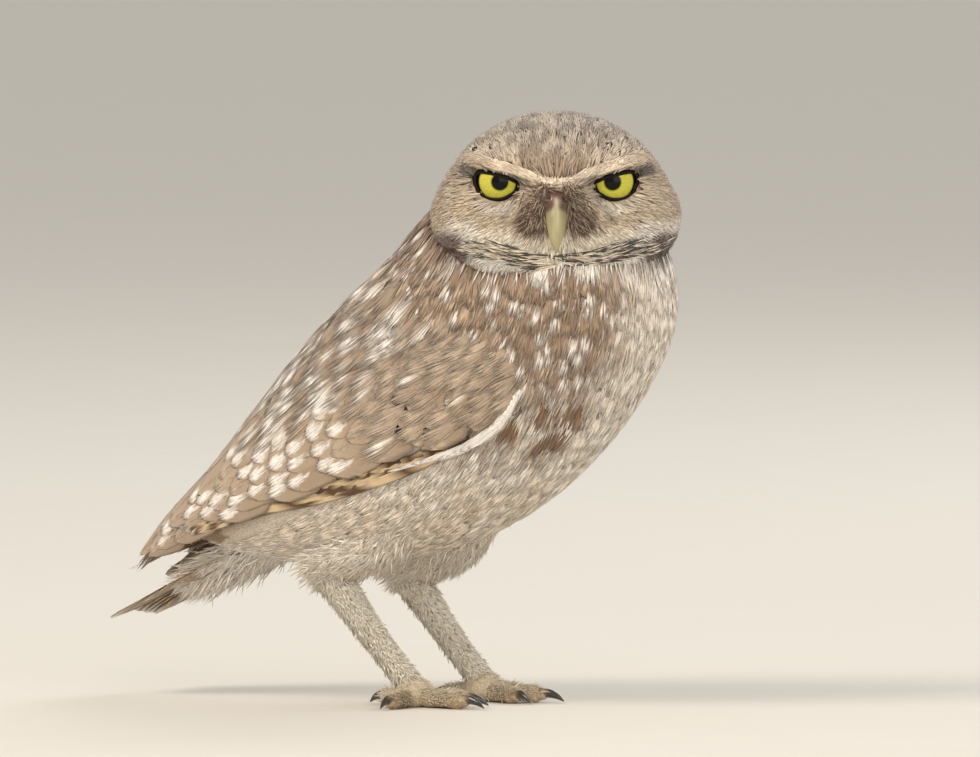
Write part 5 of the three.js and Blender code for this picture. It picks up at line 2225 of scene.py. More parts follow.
@dataclass(frozen=True)
class Eye:
    """One eyeball with its iris, and the dark bare rims of the lids round it."""

    frame: EyeFrame
    pupil_inward: float = 0.85

    def ball(self) -> Piece:
        """The eyeball, in rings about its axis with a bulged cornea.

        Returns:
            The piece.
        """
        theta = np.concatenate([np.linspace(0.004, 0.75, 60), np.linspace(0.78, np.pi - 0.05, 40)])
        phi = np.linspace(0, 2 * np.pi, 96, endpoint=False)
        t, a = np.meshgrid(theta, phi, indexing="ij")
        radius = self.frame.radius + 0.5 * np.exp(-((t / 0.55) ** 4)) * np.cos(t)
        q = np.stack([radius * np.cos(t), radius * np.sin(t) * np.cos(a), radius * np.sin(t) * np.sin(a)], -1)
        points, faces = closed(q)
        out = np.where(t < 1.4, np.hypot(q[..., 1], q[..., 2]), 12.0)
        to_pupil = np.where(t < 1.4, np.hypot(q[..., 1] + self.pupil_inward, q[..., 2] + 0.1), 12.0)
        vane = np.stack([np.append(out.ravel(), [0.0, 12.0]), np.append(a.ravel(), [0, 0]),
                         np.append(to_pupil.ravel(), [0.9, 12.0])], -1)
        pile = Pile()
        patch = np.stack([0.5 + vane[:, 0] / 30 * np.cos(vane[:, 1]),
                          0.5 + vane[:, 0] / 30 * np.sin(vane[:, 1])], -1)
        pile.add(HEAD.design(self.frame.head(points))[None], C.lid, vane[None], patch[None], faces)
        name = self.frame.side.word
        return dress(pile.build(f"eyeball_{name}", WetEye(f"wet_eye_{name}").build()), "eye", f"eye_{name}")

    def rims(self) -> Piece:
        """A thin dark rim that follows the lid line over the eyeball, widest at its corners.

        Returns:
            The piece.
        """
        turn = np.linspace(0, 2 * np.pi, 120, endpoint=False)
        sections = ((-0.3, 8.7), (-0.25, 9.4), (0.0, 9.75), (0.4, 9.9), (0.85, 9.75), (1.5, 9.2), (1.5, 8.4),
                    (0.2, 8.3))
        rings = []
        for grow, reach in sections:
            yz = self.frame.lids(turn, grow)
            x = np.sqrt(np.maximum(reach ** 2 - np.sum(yz ** 2, -1), 0.5))
            rings.append(np.column_stack([x, yz]))
        rings = np.stack(rings, 1)
        rows, columns = rings.shape[:2]
        r = np.arange(rows)[:, None]
        c = np.arange(columns)[None]
        faces = np.stack([r * columns + c, (r + 1) % rows * columns + c, (r + 1) % rows * columns
                          + (c + 1) % columns, r * columns + (c + 1) % columns], -1).reshape(-1, 4)
        points = rings.reshape(-1, 3)
        u, v = np.repeat(turn / (2 * np.pi), columns), np.tile(np.linspace(0, 5.5, columns), rows)
        pile = Pile()
        wrinkle = 0.75 + 0.5 * noise(points, 0.9, 4)[:, None]
        add_plain(pile, HEAD.design(self.frame.head(points)), [faces], C.lid * wrinkle, u, v)
        name = self.frame.side.word
        skin = Hide(f"lid_skin_{name}", roughness=0.5, depth=0.3, shine=0.15).build()
        return dress(pile.build(f"lid_rim_{name}", skin), "plumage")

    def build(self) -> None:
        """Makes the eyeball and the lid rims."""
        self.ball()
        self.rims()


@dataclass(frozen=True)
class Bill:
    """The hooked bill: upper and lower halves of horn, with the soft cere, its nostrils and bristles."""

    upper: tuple = ((18.0, 0, 7.4, 2.6, 3.0), (21.0, 0, 6.2, 3.2, 3.6), (26.0, 0, 3.2, 3.5, 3.4),
                    (29.0, 0, -1.2, 3.5, 3.0), (30.8, 0, -6.2, 2.95, 2.4), (30.7, 0, -10.6, 1.75, 1.6),
                    (29.6, 0, -14.2, 0.3, 0.35))
    lower: tuple = ((20, 0, -4.4, 2.6, 2.0), (23.6, 0, -6.4, 2.3, 1.5), (26.4, 0, -8.8, 1.7, 1.1),
                    (27.7, 0, -11.0, 0.5, 0.5))
    nostril: tuple = (29.2, 2.5, 2.8)
    # Half the nostril's width and the swelling round it
    nostril_radius: float = 0.95
    swelling: float = 2.1
    bristle_count: int = 900
    seed: int = 17

    def half(self, stops: tuple, name: str, node: str, power: float) -> Piece:
        """One half of the bill.

        Args:
            stops: Forward, aside, up, half breadth and half height at each stop.
            name: The piece's name.
            node: The solid that it stands for.
            power: How square its sections are.

        Returns:
            The piece.
        """
        t = np.linspace(0, len(stops) - 1, 72)
        rows = smooth_at(stops, t)
        points, faces, u, v = tube(rows[:, :3], np.maximum(rows[:, 3], 0.15), np.maximum(rows[:, 4], 0.15),
                                   np.array([1.0, 0, 0.3]), 48, power)
        ridge = np.exp(-(((v - np.pi / 2) / 0.5) ** 2))
        at = smooth_at(stops, u * (len(stops) - 1))
        away = unit(points - at[:, :3])
        crest = np.exp(-(((v - np.pi / 2) / 0.3) ** 2))
        cere = smoothstep(0.53 - 0.03 * crest - u, -0.015, 0.04)
        # Painted shade in the nostril pits, where the cere sinks
        pit_shade = np.zeros(len(points))
        swell = 0.3 * ridge * np.sin(np.pi * np.clip(u * 1.1, 0, 1))
        if node == "bill_upper":
            for sign in (-1, 1):
                spot = np.array(self.nostril) * [1, sign, 1]
                gap = np.linalg.norm(points - spot, axis=1)
                hole = np.exp(-((gap / self.nostril_radius) ** 4))
                pit_shade = pit_shade + hole
                swell = swell + 1.1 * np.exp(-((gap / self.swelling) ** 2)) - 1.7 * hole
        points = points + away * swell[:, None]
        # Painted shade: each half's sides are painted darker than its ridge along the top
        horn = mix(C.bill_side, C.bill, np.clip(0.8 * ridge + 0.7 * smoothstep(u, 0.45, 0.85), 0, 1))
        # Painted shade: the lower half, under the upper, is painted a fifth darker; the upper half is painted
        # again below
        tint = horn * 0.8
        if node == "bill_upper":
            soft = mix(C.cere, C.lore, np.exp(-(((v - np.pi / 2) / 0.2) ** 2)) * 0.6
                       * smoothstep(u, 0.38, 0.44))
            # The cere's tint, with painted shade in the nostril pits
            tint = mix(horn, soft * ((0.75 + 0.5 * noise(points, 1.2, 21))
                                     * (1 - 0.85 * np.clip(pit_shade, 0, 1)))[:, None], cere)
            # Painted shade at the hook's tip
            tint = mix(tint, C.bill_side, smoothstep(u, 0.93, 1.0) * 0.5)
        pile = Pile()
        add_plain(pile, HEAD.design(points), faces, tint, u, v)
        return dress(pile.build(name, Horn(f"{name}_horn", glow=0.05).build()), "bill", node)

    def bristles(self) -> None:
        """Stiff hair-like feathers that spring from both sides of the bill's root and over its cere."""
        rng = np.random.default_rng(self.seed)
        count = self.bristle_count
        sign = np.where(np.arange(count) % 2, 1.0, -1.0)
        z = rng.uniform(-5.0, 8.0, count)
        y = sign * (lerp(2.8, 1.0, smoothstep(z, 2.5, 6.5)) + rng.gamma(1.6, 1.5, count))
        way = unit(np.stack([np.full(count, 24.0), y, z - HEAD.level], -1))
        flow = np.stack([0.9 + 0 * z, sign * rng.uniform(0.15, 1.3, count),
                         -0.75 + rng.normal(0, 0.35, count)], -1)
        roots = HeadRoots.on(way, lambda p: flow)
        length = rng.uniform(4.0, 7.5, count)
        clear = clear_of_eyes(roots, length)
        roots, length, z, count = (roots.chosen(np.flatnonzero(clear)), length[clear], z[clear],
                                   int(clear.sum()))
        share = rng.random(count)
        tint = mix(C.bristle, C.lore, smoothstep(share, 0.55, 0.75) * rng.uniform(0.5, 0.9, count))
        tint = mix(tint, C.disc, (share > 0.7) * smoothstep(-z, 0.5, 3.5) * 0.7)
        tint = mix(tint, C.collar, (share < 0.12) * 0.6)

        def paint(u: Array, v: Array, p: Array, one: Array) -> Array:
            """Deep at the root, a little paler to the tip."""
            return tint[:, None] * (0.8 + 0.35 * u)[..., None]

        pile = Pile()
        Barb(stops=(0.0, 0.4, 0.75), full=(1.0, 0.8, 0.45)).grow(
            pile, roots, length, rng.uniform(0.24, 0.42, count), paint, rng, low=-0.4,
            high=rng.uniform(0.8, 3.0, count), bend=rng.normal(0, 0.12, count), power=1.0)
        finish_pile(pile, "bill_bristles", Down)

    def build(self) -> None:
        """Makes both halves and the bristles."""
        self.half(self.upper, "upper_bill", "bill_upper", 1.9)
        self.half(self.lower, "lower_bill", "bill_lower", 2.0)
        self.bristles()


# ---------------------------------------------------------------- body


def body_flow(station: Array, around: Array) -> Array:
    """The turn of the body's lie from straight along the form."""
    turn = (around + np.pi) % (2 * np.pi) - np.pi
    return 0.18 * np.sin(turn) * (1 - smoothstep(station, 3, 8))


@dataclass(frozen=True)
class BodyCoat:
    """The feathers of neck, breast, belly and back: plumes of loose barbs over closer, darker vanes."""

    pitch: tuple = (4.0, 4.3)
    bands: tuple = (("neck", -0.2, 2.2), ("breast", 2.2, 4.6), ("belly", 4.6, 11.9))
    seed: int = 31

    def roots(self, low: float, high: float, pitch: tuple, rng: Rng) -> CoatRoots:
        """Roots in rows all round the body between two stations, clear of the head and the wings.

        Args:
            low: The first station.
            high: The last station.
            pitch: How far apart they are.
            rng: The source of chance.

        Returns:
            The roots.
        """
        station, around = rows_on(BODY_FORM, low, high, pitch, rng)
        p = HEAD.local(BODY_FORM.place(station, around))
        reach = np.linalg.norm(p - HEAD.middle, axis=1)
        keep = reach > HEAD.radius(unit(p - HEAD.middle)) - 1.5
        keep &= ~self.under_wing(station, around)
        station, around = station[keep], around[keep]
        return CoatRoots.on(BODY_FORM, station, around, body_flow(station, around))

    def under_wing(self, station: Array, around: Array) -> Array:
        """Whether each place is well covered by a folded wing.

        Args:
            station: Where along the form.
            around: The turn from the spine line.

        Returns:
            True or false for each.
        """
        turn = np.abs(around)
        low = wing_around(station, np.zeros_like(station)) - 0.3
        high = wing_around(station, np.ones_like(station)) + 0.32
        return (station > 3.4) & (station < 9.6) & (turn < low) & (turn > high)

    def marks(self, station: Array, around: Array, rng: Rng) -> dict:
        """Each feather's own marking, by the place where it shows.

        Args:
            station: Where along the form.
            around: The turn from the spine line.
            rng: The source of chance.

        Returns:
            Values by the mark's name.
        """
        turn = from_spine(around)
        belly = np.pi - turn
        at = BODY_FORM.place(station, around)
        q = HEAD.local(at)
        clear = (1 - smoothstep(q[:, 2], -27, -24)) * (1 - neck_patch(q))
        cloud = noise(at, 7.0, 3) - 0.5
        breast = (clear * (1 - smoothstep(station + cloud, 4.1, 4.9))
                  * (1 - middle_share(station, belly, cloud)))
        flank = (smoothstep(station, 4.0, 4.4) * (1 - smoothstep(station, 5.4, 6.2))
                 * smoothstep(belly, 0.25, 0.5))
        back = 1 - smoothstep(turn, 1.1, 1.6)
        bib = (smoothstep(q[:, 2], -25.5, -24) * (1 - middle_share(np.full(len(at), 1.5), belly, cloud))
               * (1 - back))
        return {"breast": breast, "flank": flank, "back": back, "kind": rng.random(len(at)),
                "deep": rng.random(len(at)), "base": body_base(station, around, at),
                "bib": bib * (1 - neck_patch(q)), "plain": 1 - neck_patch(q)}

    def paint(self, m: dict) -> Paint:
        """Colours of the body's feathers: oval white spots on breast and back, soft bars on the flanks.

        Args:
            m: Each feather's marks by name.

        Returns:
            What gives the colours.
        """
        def colours(u: Array, v: Array, p: Array, one: Array) -> Array:
            """The feather's base, its marking and a paler fringe.

            Args:
                u: The share along.
                v: The share across.
                p: The places.
                one: Each feather's own number from 0 to 1.

            Returns:
                Linear colours.
            """
            k, breast, flank, back, deep = (m[n][:, None]
                                            for n in ("kind", "breast", "flank", "back", "deep"))
            tint = m["base"][:, None] * (0.92 + 0.1 * np.clip(u, 0, 1))[..., None]
            low = smoothstep(-HEAD.local(p)[..., 2] + 2.0 * (one - 0.5), 25.6, 27.0) * m["bib"][:, None]
            tint = mix(tint, C.breast, low)
            band = smoothstep(u, 0.45, 0.65) * (1 - smoothstep(u, 0.8, 0.98))
            dark = np.clip((breast + 0.6 * back) * band * smoothstep(deep, 0.45, 0.9) * 0.7, 0, 0.7)
            tint = mix(tint, C.breast_dark, dark)
            oval = np.exp(-((((u - 0.78) / 0.2) ** 2 + (v / 0.62) ** 2) ** 2))
            white = np.clip(oval * 1.4, 0, 1) * (breast * (k < 0.4) + back * (k < 0.45)) * m["plain"][:, None]
            tint = mix(tint, C.spot, np.clip(white, 0, 0.95))
            buff = np.clip(oval, 0, 1) * breast * (k > 0.4) * (k < 0.56) * 0.6
            tint = mix(tint, C.wing_buff, buff)
            bar = 1 - smoothstep(np.abs(u - 0.74), 0.1, 0.2)
            return mix(tint, C.bar, bar * flank * (k < 0.5) * 0.9)
        return colours

    def sizes(self, roots: CoatRoots, rng: Rng) -> tuple:
        """The lengths and the widths of plumes, longer and broader on the back.

        Args:
            roots: Where the plumes grow.
            rng: The source of chance.

        Returns:
            The lengths and the widths.
        """
        turn = from_spine(roots.around)
        soft = smoothstep(turn, 1.1, 1.6)
        size = lerp(0.72, 1.0, smoothstep(roots.station, 0.4, 1.8)) * rng.uniform(0.9, 1.12, len(roots))
        return (lerp(15.5, 14.0, soft) * size * lerp(1.0, 1.15, smoothstep(roots.station, 6, 9)),
                lerp(9.0, 7.2, soft) * size)

    def coat(self, name: str, low: float, high: float, offset: int) -> None:
        """Makes the vanes and the plumes over them between two stations.

        Args:
            name: The band's name.
            low: Its first station.
            high: Its last station.
            offset: What is added to the seed.
        """
        rng = np.random.default_rng(self.seed + offset)
        roots = self.roots(low, high, self.pitch, rng)
        f = len(roots)
        roots = roots.turned(rng.normal(0, 0.09, f))
        length, width = self.sizes(roots, rng)
        paint = self.paint(self.marks(*roots.ahead(0.76 * length), rng))
        height = rng.normal(-0.1, 0.06, f)
        ground, plumes = Pile(), Pile()
        Vane(rings=4, columns=4, fray=0.05, lift=(-1.2, -0.1), camber=0.08, edge=0.5, blunt=2.0, ruffle=0.01,
             root=0.5, crowd=0.8).grow(ground, roots, length * 0.98, width * 1.2, paint, rng, height)
        Plume(barbs=12, lift=(-0.8, 0.45), loose=0.1).grow(plumes, roots, length, width, paint, rng, height)
        finish_pile(ground, f"{name}_vanes", Plumage)
        finish_pile(plumes, f"{name}_plumes", Down)

    def strands(self) -> None:
        """Makes fine loose barbs all over the body, which blend one plume into the next."""
        rng = np.random.default_rng(self.seed + 9)
        roots = self.roots(0.6, 10.2, (3.6, 3.8), rng)
        hind = (roots.station > 8.4) & (from_spine(roots.around) < 1.5)
        roots = roots.chosen(np.flatnonzero(~hind))
        many, _ = tuft(roots, 3, 0.12, 1.3, rng)
        f = len(many)
        length = rng.uniform(8, 13, f) * lerp(0.75, 1.1, smoothstep(many.station, 1, 5))
        station, around = many.ahead(0.6 * length)
        at = BODY_FORM.place(station, around)
        base = body_base(station, around, at)
        pale = smoothstep(noise(at, (3.0, 2.0, 3.0), 15), 0.55, 0.75)
        turn = from_spine(around)
        side = (smoothstep(np.pi - turn, 0.3, 0.5) * smoothstep(station, 3.6, 4.2)
                * (1 - smoothstep(station, 5.2, 5.8)))
        base = mix(base, C.spot, pale * 0.5 * (1 - side))

        def paint(u: Array, v: Array, p: Array, one: Array) -> Array:
            """Deeper at the root, each barb a little its own."""
            return base[:, None] * (0.86 + 0.12 * u + 0.12 * one)[..., None]

        pile = Pile()
        Barb().grow(pile, many, length, rng.uniform(0.4, 0.7, f), paint, rng, low=-0.7,
                    high=rng.uniform(0.2, 0.75, f), bend=rng.normal(0, 0.05, f))
        finish_pile(pile, "body_strands", Down)

    def build(self) -> None:
        """Makes the body's coats in three bands."""
        for k, (name, low, high) in enumerate(self.bands):
            self.coat(name, low, high, k + 1)
        self.strands()


# ---------------------------------------------------------------- wings


@dataclass(frozen=True)
class FlightRow:
    """One row of long feathers: how many, where across, root and tip stations, widths and heights."""

    name: str
    count: int
    across: tuple
    across_tip: tuple
    root: tuple
    tip: tuple
    width: tuple
    lift: tuple
    bars: bool


FLIGHT = (FlightRow("primaries", 8, (-0.01, 0.21), (0.03, 0.3), (5.1, 6.6), (10.9, 9.8),
                    (5.6, 8.6), (-0.8, -0.6), True),
          FlightRow("secondaries", 9, (0.27, 1.3), (0.32, 1.28), (5.4, 6.2), (9.7, 9.5), (12.5, 15.5),
                    (-1.6, -1.3), False))


@dataclass(frozen=True)
class Wing:
    """A folded wing: long quills below, then rows of spotted coverts and scapulars to the shoulder."""

    side: Side
    # The rows of coverts lie this far apart in front and behind, and their feathers across
    row_gaps: tuple = (5.6, 8.3)
    pitches: tuple = (6.0, 8.2)
    covert_lengths: tuple = (15.5, 25.0)
    covert_widths: tuple = (10.5, 12.8)
    # The narrow white feathers: how many, between which stations, how far below the coverts, length and width
    edge_count: int = 20
    edge_run: tuple = (3.72, 5.6)
    edge_drop: float = 0.012
    edge_size: tuple = (15.0, 3.6)
    seed: int = 51

    @property
    def form(self) -> CoatForm:
        """The wing's outer form on its own side."""
        return replace(WING_FORM, side=self.side.value)

    def quill_paint(self, bars: bool) -> Paint:
        """Colours of long quills: buff and dark bars on primaries, brown with pale edge spots on secondaries.

        Args:
            bars: Whether they are barred.

        Returns:
            What gives the colours.
        """
        def paint(u: Array, v: Array, p: Array, one: Array) -> Array:
            """Barred or spotted across the vane, with a pale tip, and on barred quills a painted shadow line
            along both edges.

            Args:
                u: The share along.
                v: The share across.
                p: The places.
                one: Each feather's own number from 0 to 1.

            Returns:
                Linear colours.
            """
            wave = np.sin(2 * np.pi * (u * 6.5 + 0.04 * v + 0.14 * one))
            if bars:
                tint = mix(C.quill_buff, C.quill_dark * 0.7, smoothstep(wave, -0.05, 0.25))
                # Painted shadow line along both edges of barred quills
                tint = mix(tint, C.quill_dark * 0.7, smoothstep(np.abs(v), 0.8, 0.95) * 0.5)
            else:
                spots = (smoothstep(wave, 0.3, 0.6) * smoothstep(np.abs(v), 0.35, 0.5)
                         * (1 - smoothstep(np.abs(v), 0.8, 0.9)))
                tint = mix(C.wing_dark, C.spot, spots * 0.8)
            return mix(tint, C.spot, smoothstep(u, 0.965, 0.99) * 0.5)
        return paint

    def quills(self, pile: Pile, rng: Rng) -> None:
        """Adds the long feathers.

        Args:
            pile: Where they go.
            rng: The source of chance.
        """
        for row in FLIGHT:
            k = np.linspace(0, 1, row.count)
            across = lerp(row.across[0], row.across[1], k)
            root, tip = lerp(row.root[0], row.root[1], k), lerp(row.tip[0], row.tip[1], k)
            around = wing_around(root, across)
            end = self.form.place(tip, wing_around(tip, lerp(row.across_tip[0], row.across_tip[1], k)))
            start = self.form.place(root, around)
            roots = CoatRoots.on(self.form, root, around)
            roots = replace(roots, along=end - start, aside=None)
            length = np.linalg.norm(end - start, axis=1) * 1.03
            width = lerp(row.width[0], row.width[1], k)
            lift = lerp(row.lift[0], row.lift[1], k)
            vane = Vane(rings=22, columns=8, root=0.6, fullest=0.25, edge=0.16, blunt=3.2, fray=0.008,
                        camber=0.1, lift=(-1.0, 0.55), thick=0.4, ruffle=0.006)
            vane.grow(pile, roots, length, width, self.quill_paint(row.bars), rng, lift)

    def low_edge(self, station: Array) -> Array:
        """How far across the wing its coverts begin, above the bared primaries."""
        stops = ((3.7, 0.1), (4.2, 0.07), (4.45, 0.03), (4.7, -0.01), (5.0, -0.03), (5.4, -0.02), (5.7, 0.05),
                 (6.2, 0.11), (7.5, 0.19), (8.5, 0.25), (9.5, 0.3))
        return np.interp(station, *np.transpose(stops))

    def sunk(self, station: Array, across: Array) -> Array:
        """How far below the outer form the coverts lie."""
        return 0.8 * np.minimum(wing_sink(station, across) - 1.1, 4.0)

    def across(self, roots: CoatRoots) -> Array:
        """How far across the wing roots lie."""
        low = wing_around(roots.station, np.zeros(len(roots)))
        return (low - np.abs(roots.around)) / (low - WING_TOP)

    def lying(self, station: Array, across: Array) -> CoatRoots:
        """Roots whose feathers point along the wing towards its tip."""
        roots = CoatRoots.on(self.form, station, wing_around(station, across))
        on = station + 0.4
        return replace(roots, along=self.form.place(on, wing_around(on, across)) - roots.at, aside=None)

    def covert_roots(self, rng: Rng) -> tuple:
        """Staggered roots of the coverts over the whole wing, with each one's place on it.

        Args:
            rng: The source of chance.

        Returns:
            The stations, and how far across each lies.
        """
        s = np.linspace(1.75, 9.3, 300)
        line = self.form.place(s, wing_around(s, 0.5 + 0 * s))
        run = run_along(line)
        steps = [0.0]
        while steps[-1] < run[-1]:
            steps.append(steps[-1] + lerp(*self.row_gaps, smoothstep(steps[-1], 10, 50)))
        spots = []
        for k, station in enumerate(np.interp(steps[:-1], run, s)):
            # A covert's tip lies this much further on, and half its breadth lower
            low = max(self.low_edge(station + 1.1), self.low_edge(station + 0.5))
            low = low + lerp(0.03, 0.09, float(smoothstep(station, 4.3, 5.6)))
            # Past the wing's own upper edge the rows run on to the middle of the back
            middle = 1 + WING_OVERLAP / (float(wing_around(station, 0.0)) - WING_TOP)
            across = np.linspace(low, lerp(1.05, middle, float(smoothstep(station, 2.4, 3.6))), 120)
            ring = self.form.place(station + 0 * across, wing_around(station + 0 * across, across))
            girth = run_along(ring)
            pitch = lerp(*self.pitches, float(smoothstep(station, 2.5, 4.5)))
            count = max(int(girth[-1] / pitch), 3)
            at = (np.arange(count) + 0.1 + 0.5 * (k % 2) + rng.normal(0, 0.06, count)) / count * girth[-1]
            spots.append(np.column_stack([station + rng.normal(0, 0.04, count),
                                          np.interp(at, girth, across)]))
        station, across = np.vstack(spots).T
        keep = station > wing_front(across) - 0.1
        return station[keep], across[keep]

    def covert_paint(self, m: dict) -> Paint:
        """Colours of coverts: brown with a white drop near the tip, parted by fine dark lines.

        Args:
            m: Each feather's marks by name.

        Returns:
            What gives the colours.
        """
        def paint(u: Array, v: Array, p: Array, one: Array) -> Array:
            """The ground, its darker middle, the white drop and the pale fringe.

            Args:
                u: The share along.
                v: The share across.
                p: The places.
                one: Each feather's own number from 0 to 1.

            Returns:
                Linear colours.
            """
            kind, wrist, scap = (m[n][:, None] for n in ("kind", "wrist", "scapular"))
            cloud = noise(p, (6.0, 4.0, 4.0), 6)
            ground = mix(m["ground"][:, None], C.wing_dark,
                         np.clip(0.6 * (1 - u) + 0.35 * one + 0.3 * cloud - 0.1, 0, 1))
            drop = np.where(u > 0.8, np.sqrt(np.clip(1 - ((u - 0.8) / 0.155) ** 2, 0, 1)),
                            np.clip((u - 0.5) / 0.3, 0, 1))
            width = lerp(m["size"][:, None] * drop, 0.75 * smoothstep(u, 0.56, 0.86), scap)
            inside = (smoothstep(width - np.abs(v - m["shift"][:, None]), -0.03, 0.07)
                      * smoothstep(u, 0.5, 0.58))
            blotch = (smoothstep(noise(p, (6.0, 3.2, 3.2), 44) + 0.1 * (kind - 0.5), 0.5, 0.58)
                      * smoothstep(u, 0.35, 0.55))
            inside = lerp(inside, blotch, scap)
            lines = 0.5 + 0.5 * np.cos(2 * np.pi * v / 0.22)
            shaft = 1 - 0.5 * lines * smoothstep(u, 0.76, 0.9) * (np.abs(v) < 0.4)
            has = kind < lerp(lerp(0.68, 0.16, wrist), 0.96, scap)
            streak = scap * smoothstep(noise(p, (4.5, 1.3, 1.3), 45), 0.56, 0.66) * (0.5 + 0.5 * lines)
            ground = mix(ground, C.mantle_dark * 0.7, streak * 0.8)
            tint = mix(ground, C.spot,
                       np.clip(inside * has * shaft * 1.15, 0, 1) * (1 - 0.75 * streak))
            fleck = smoothstep(noise(p, 2.6, 12), 0.56, 0.72) * wrist
            tint = mix(tint, C.wing_buff, fleck * 0.65 * smoothstep(u, 0.5, 0.7))
            plain = (1 - has) * (1 - wrist) * smoothstep(u, 0.88, 0.98) * 0.4
            return mix(tint, C.wing_buff, plain)
        return paint

    def coverts(self, pile: Pile, fringe: Pile, rng: Rng) -> None:
        """Adds coverts and scapulars, longer towards the tail, with loose barbs at their tips.

        Args:
            pile: Where they go.
            fringe: Where the loose barbs go.
            rng: The source of chance.
        """
        station, across = self.covert_roots(rng)
        lag = smoothstep(station, 2.0, 7.0)
        roots = self.lying(station, across).turned(rng.normal(0, 0.04, len(station)))
        f = len(roots)
        wrist = ((1 - smoothstep(station - wing_front(across), 1.0, 2.2))
                 * (1 - smoothstep(across, 0.42, 0.62)))
        scapular = (smoothstep(across, 0.42, 0.6) * (1 - smoothstep(station, 4.4, 6.0))
                    * (1 - 0.5 * smoothstep(across, 1.0, 1.15)))
        ground = mix(C.wing, C.mantle_dark, 0.22 * noise(roots.at, 9.0, 6) + 0.25 * scapular)
        m = {"kind": rng.random(f), "wrist": wrist, "scapular": scapular, "ground": ground,
             "shift": rng.normal(0.0, 0.06, f), "size": rng.uniform(0.3, 0.46, f)}
        length = lerp(*self.covert_lengths, lag) * lerp(1.0, 0.8, wrist) * rng.uniform(0.97, 1.05, f)
        width = lerp(*self.covert_widths, lag) * lerp(1.0, 0.85, wrist) * rng.uniform(0.95, 1.05, f)
        tip = roots.ahead(length)[0]
        height = (np.stack([-self.sunk(station, across), -self.sunk(tip, across)], -1)
                  + rng.normal(0, 0.02, (f, 1)))
        soft = (np.maximum(wrist * 1.6, scapular) + (1 - smoothstep(station, 3.0, 4.0))
                > rng.uniform(0.3, 0.7, f))
        for pick, plumes in ((soft, True), (~soft, False)):
            of = np.flatnonzero(pick)
            paint = self.covert_paint({key: value[of] for key, value in m.items()})
            grow = self.soft_coverts if plumes else self.close_coverts
            grow(pile, fringe, roots.chosen(of), length[of], width[of], paint, rng, height[of])

    def soft_coverts(self, pile: Pile, fringe: Pile, roots: CoatRoots, length: Array, width: Array,
                     paint: Paint, rng: Rng, height: Array) -> None:
        """Adds loose coverts, whose single barbs show more than their outlines do.

        Args:
            pile: Where they go.
            fringe: Where the loose barbs go.
            roots: Where they grow.
            length: Their lengths.
            width: Their full widths.
            paint: Gives their colours.
            rng: The source of chance.
            height: How much higher each lies.
        """
        # The foremost show only their barbs, because the neck's plumes run over their vanes
        across = self.across(roots)
        front = lerp(wing_front(across), 3.1, smoothstep(across, 1.0, 1.12))
        sink = (lerp(1.3, 2.4, smoothstep(across, 1.0, 1.12))
                * (1 - smoothstep(roots.station - front, 0.2, 0.9)))
        sink = sink[:, None]
        vane = Vane(rings=6, columns=6, root=0.5, fullest=0.3, edge=0.4, blunt=2.0, fray=0.06, camber=0.03,
                    crowd=0.7, lift=(-0.8, -0.45), thick=0.1, ruffle=0.01, rise_power=1.0)
        vane.grow(pile, roots, length, width * 1.25, paint, rng, height - 0.1 - sink)
        plume = Plume(barbs=26, edge=0.4, lift=(-0.75, 0.1), uneven=0.08, cover=1.7, loose=0.07)
        plume.grow(fringe, roots, length * 1.05, width * 1.05, paint, rng, height + 0.02)

    def close_coverts(self, pile: Pile, fringe: Pile, roots: CoatRoots, length: Array, width: Array,
                      paint: Paint, rng: Rng, height: Array) -> None:
        """Adds firm coverts with loose barbs only at their tips.

        Args:
            pile: Where they go.
            fringe: Where the loose barbs go.
            roots: Where they grow.
            length: Their lengths.
            width: Their full widths.
            paint: Gives their colours.
            rng: The source of chance.
            height: How much higher each lies.
        """
        vane = Vane(rings=12, columns=12, root=0.5, fullest=0.3, edge=0.36, blunt=2.4, fray=0.012,
                    camber=0.03, crowd=0.62, lift=(-0.55, -0.2), thick=0.1, ruffle=0.003, rise_power=1.0)
        vane.grow(pile, roots, length * 0.94, width * 0.95, paint, rng, height)
        plume = Plume(barbs=22, start=(0.5, 0.78), edge=0.36, lift=(-0.5, -0.14), uneven=0.012, cover=1.5,
                      loose=0.012)
        plume.grow(fringe, roots, length, width, paint, rng, height + 0.03)

    def white_edge(self, pile: Pile, rng: Rng) -> None:
        """Adds the narrow white feathers along the folded wing's lower front edge.

        Args:
            pile: Where they go.
            rng: The source of chance.
        """
        count = self.edge_count
        station = np.linspace(*self.edge_run, count)
        across = self.low_edge(station) - self.edge_drop
        roots = CoatRoots.on(self.form, station, wing_around(station, across))
        on = station + 0.3
        along = self.form.place(on, wing_around(on, self.low_edge(on) - self.edge_drop)) - roots.at
        roots = replace(roots, along=along, aside=None)

        def paint(u: Array, v: Array, p: Array, one: Array) -> Array:
            """White, a little deeper at the root."""
            return mix(C.spot, C.belly, 0.2 * (1 - u))

        sink = self.sunk(station, across)
        swell = np.sin(np.linspace(0.35, 2.8, count))
        length, width = np.full(count, self.edge_size[0]), self.edge_size[1] * swell
        vane = Vane(rings=8, columns=6, root=0.6, edge=0.5, blunt=2.0, fray=0.01, camber=0.2,
                    lift=(-0.3, 0.25), thick=0.3)
        vane.grow(pile, roots, length, width, paint, rng, 0.15 - sink)

    def build(self) -> None:
        """Makes the wing's three pieces."""
        rng = np.random.default_rng(self.seed + self.side.value)
        word = self.side.word
        quills, coverts, fringe = Pile(), Pile(), Pile()
        self.quills(quills, rng)
        self.coverts(coverts, fringe, rng)
        self.white_edge(coverts, rng)
        finish_pile(fringe, f"wing_fringe_{word}", Down)
        finish_pile(quills, f"wing_quills_{word}", Plumage, "plumage", barb_pitch=0.9)
        finish_pile(coverts, f"wing_coverts_{word}", Plumage)


# ---------------------------------------------------------------- tail


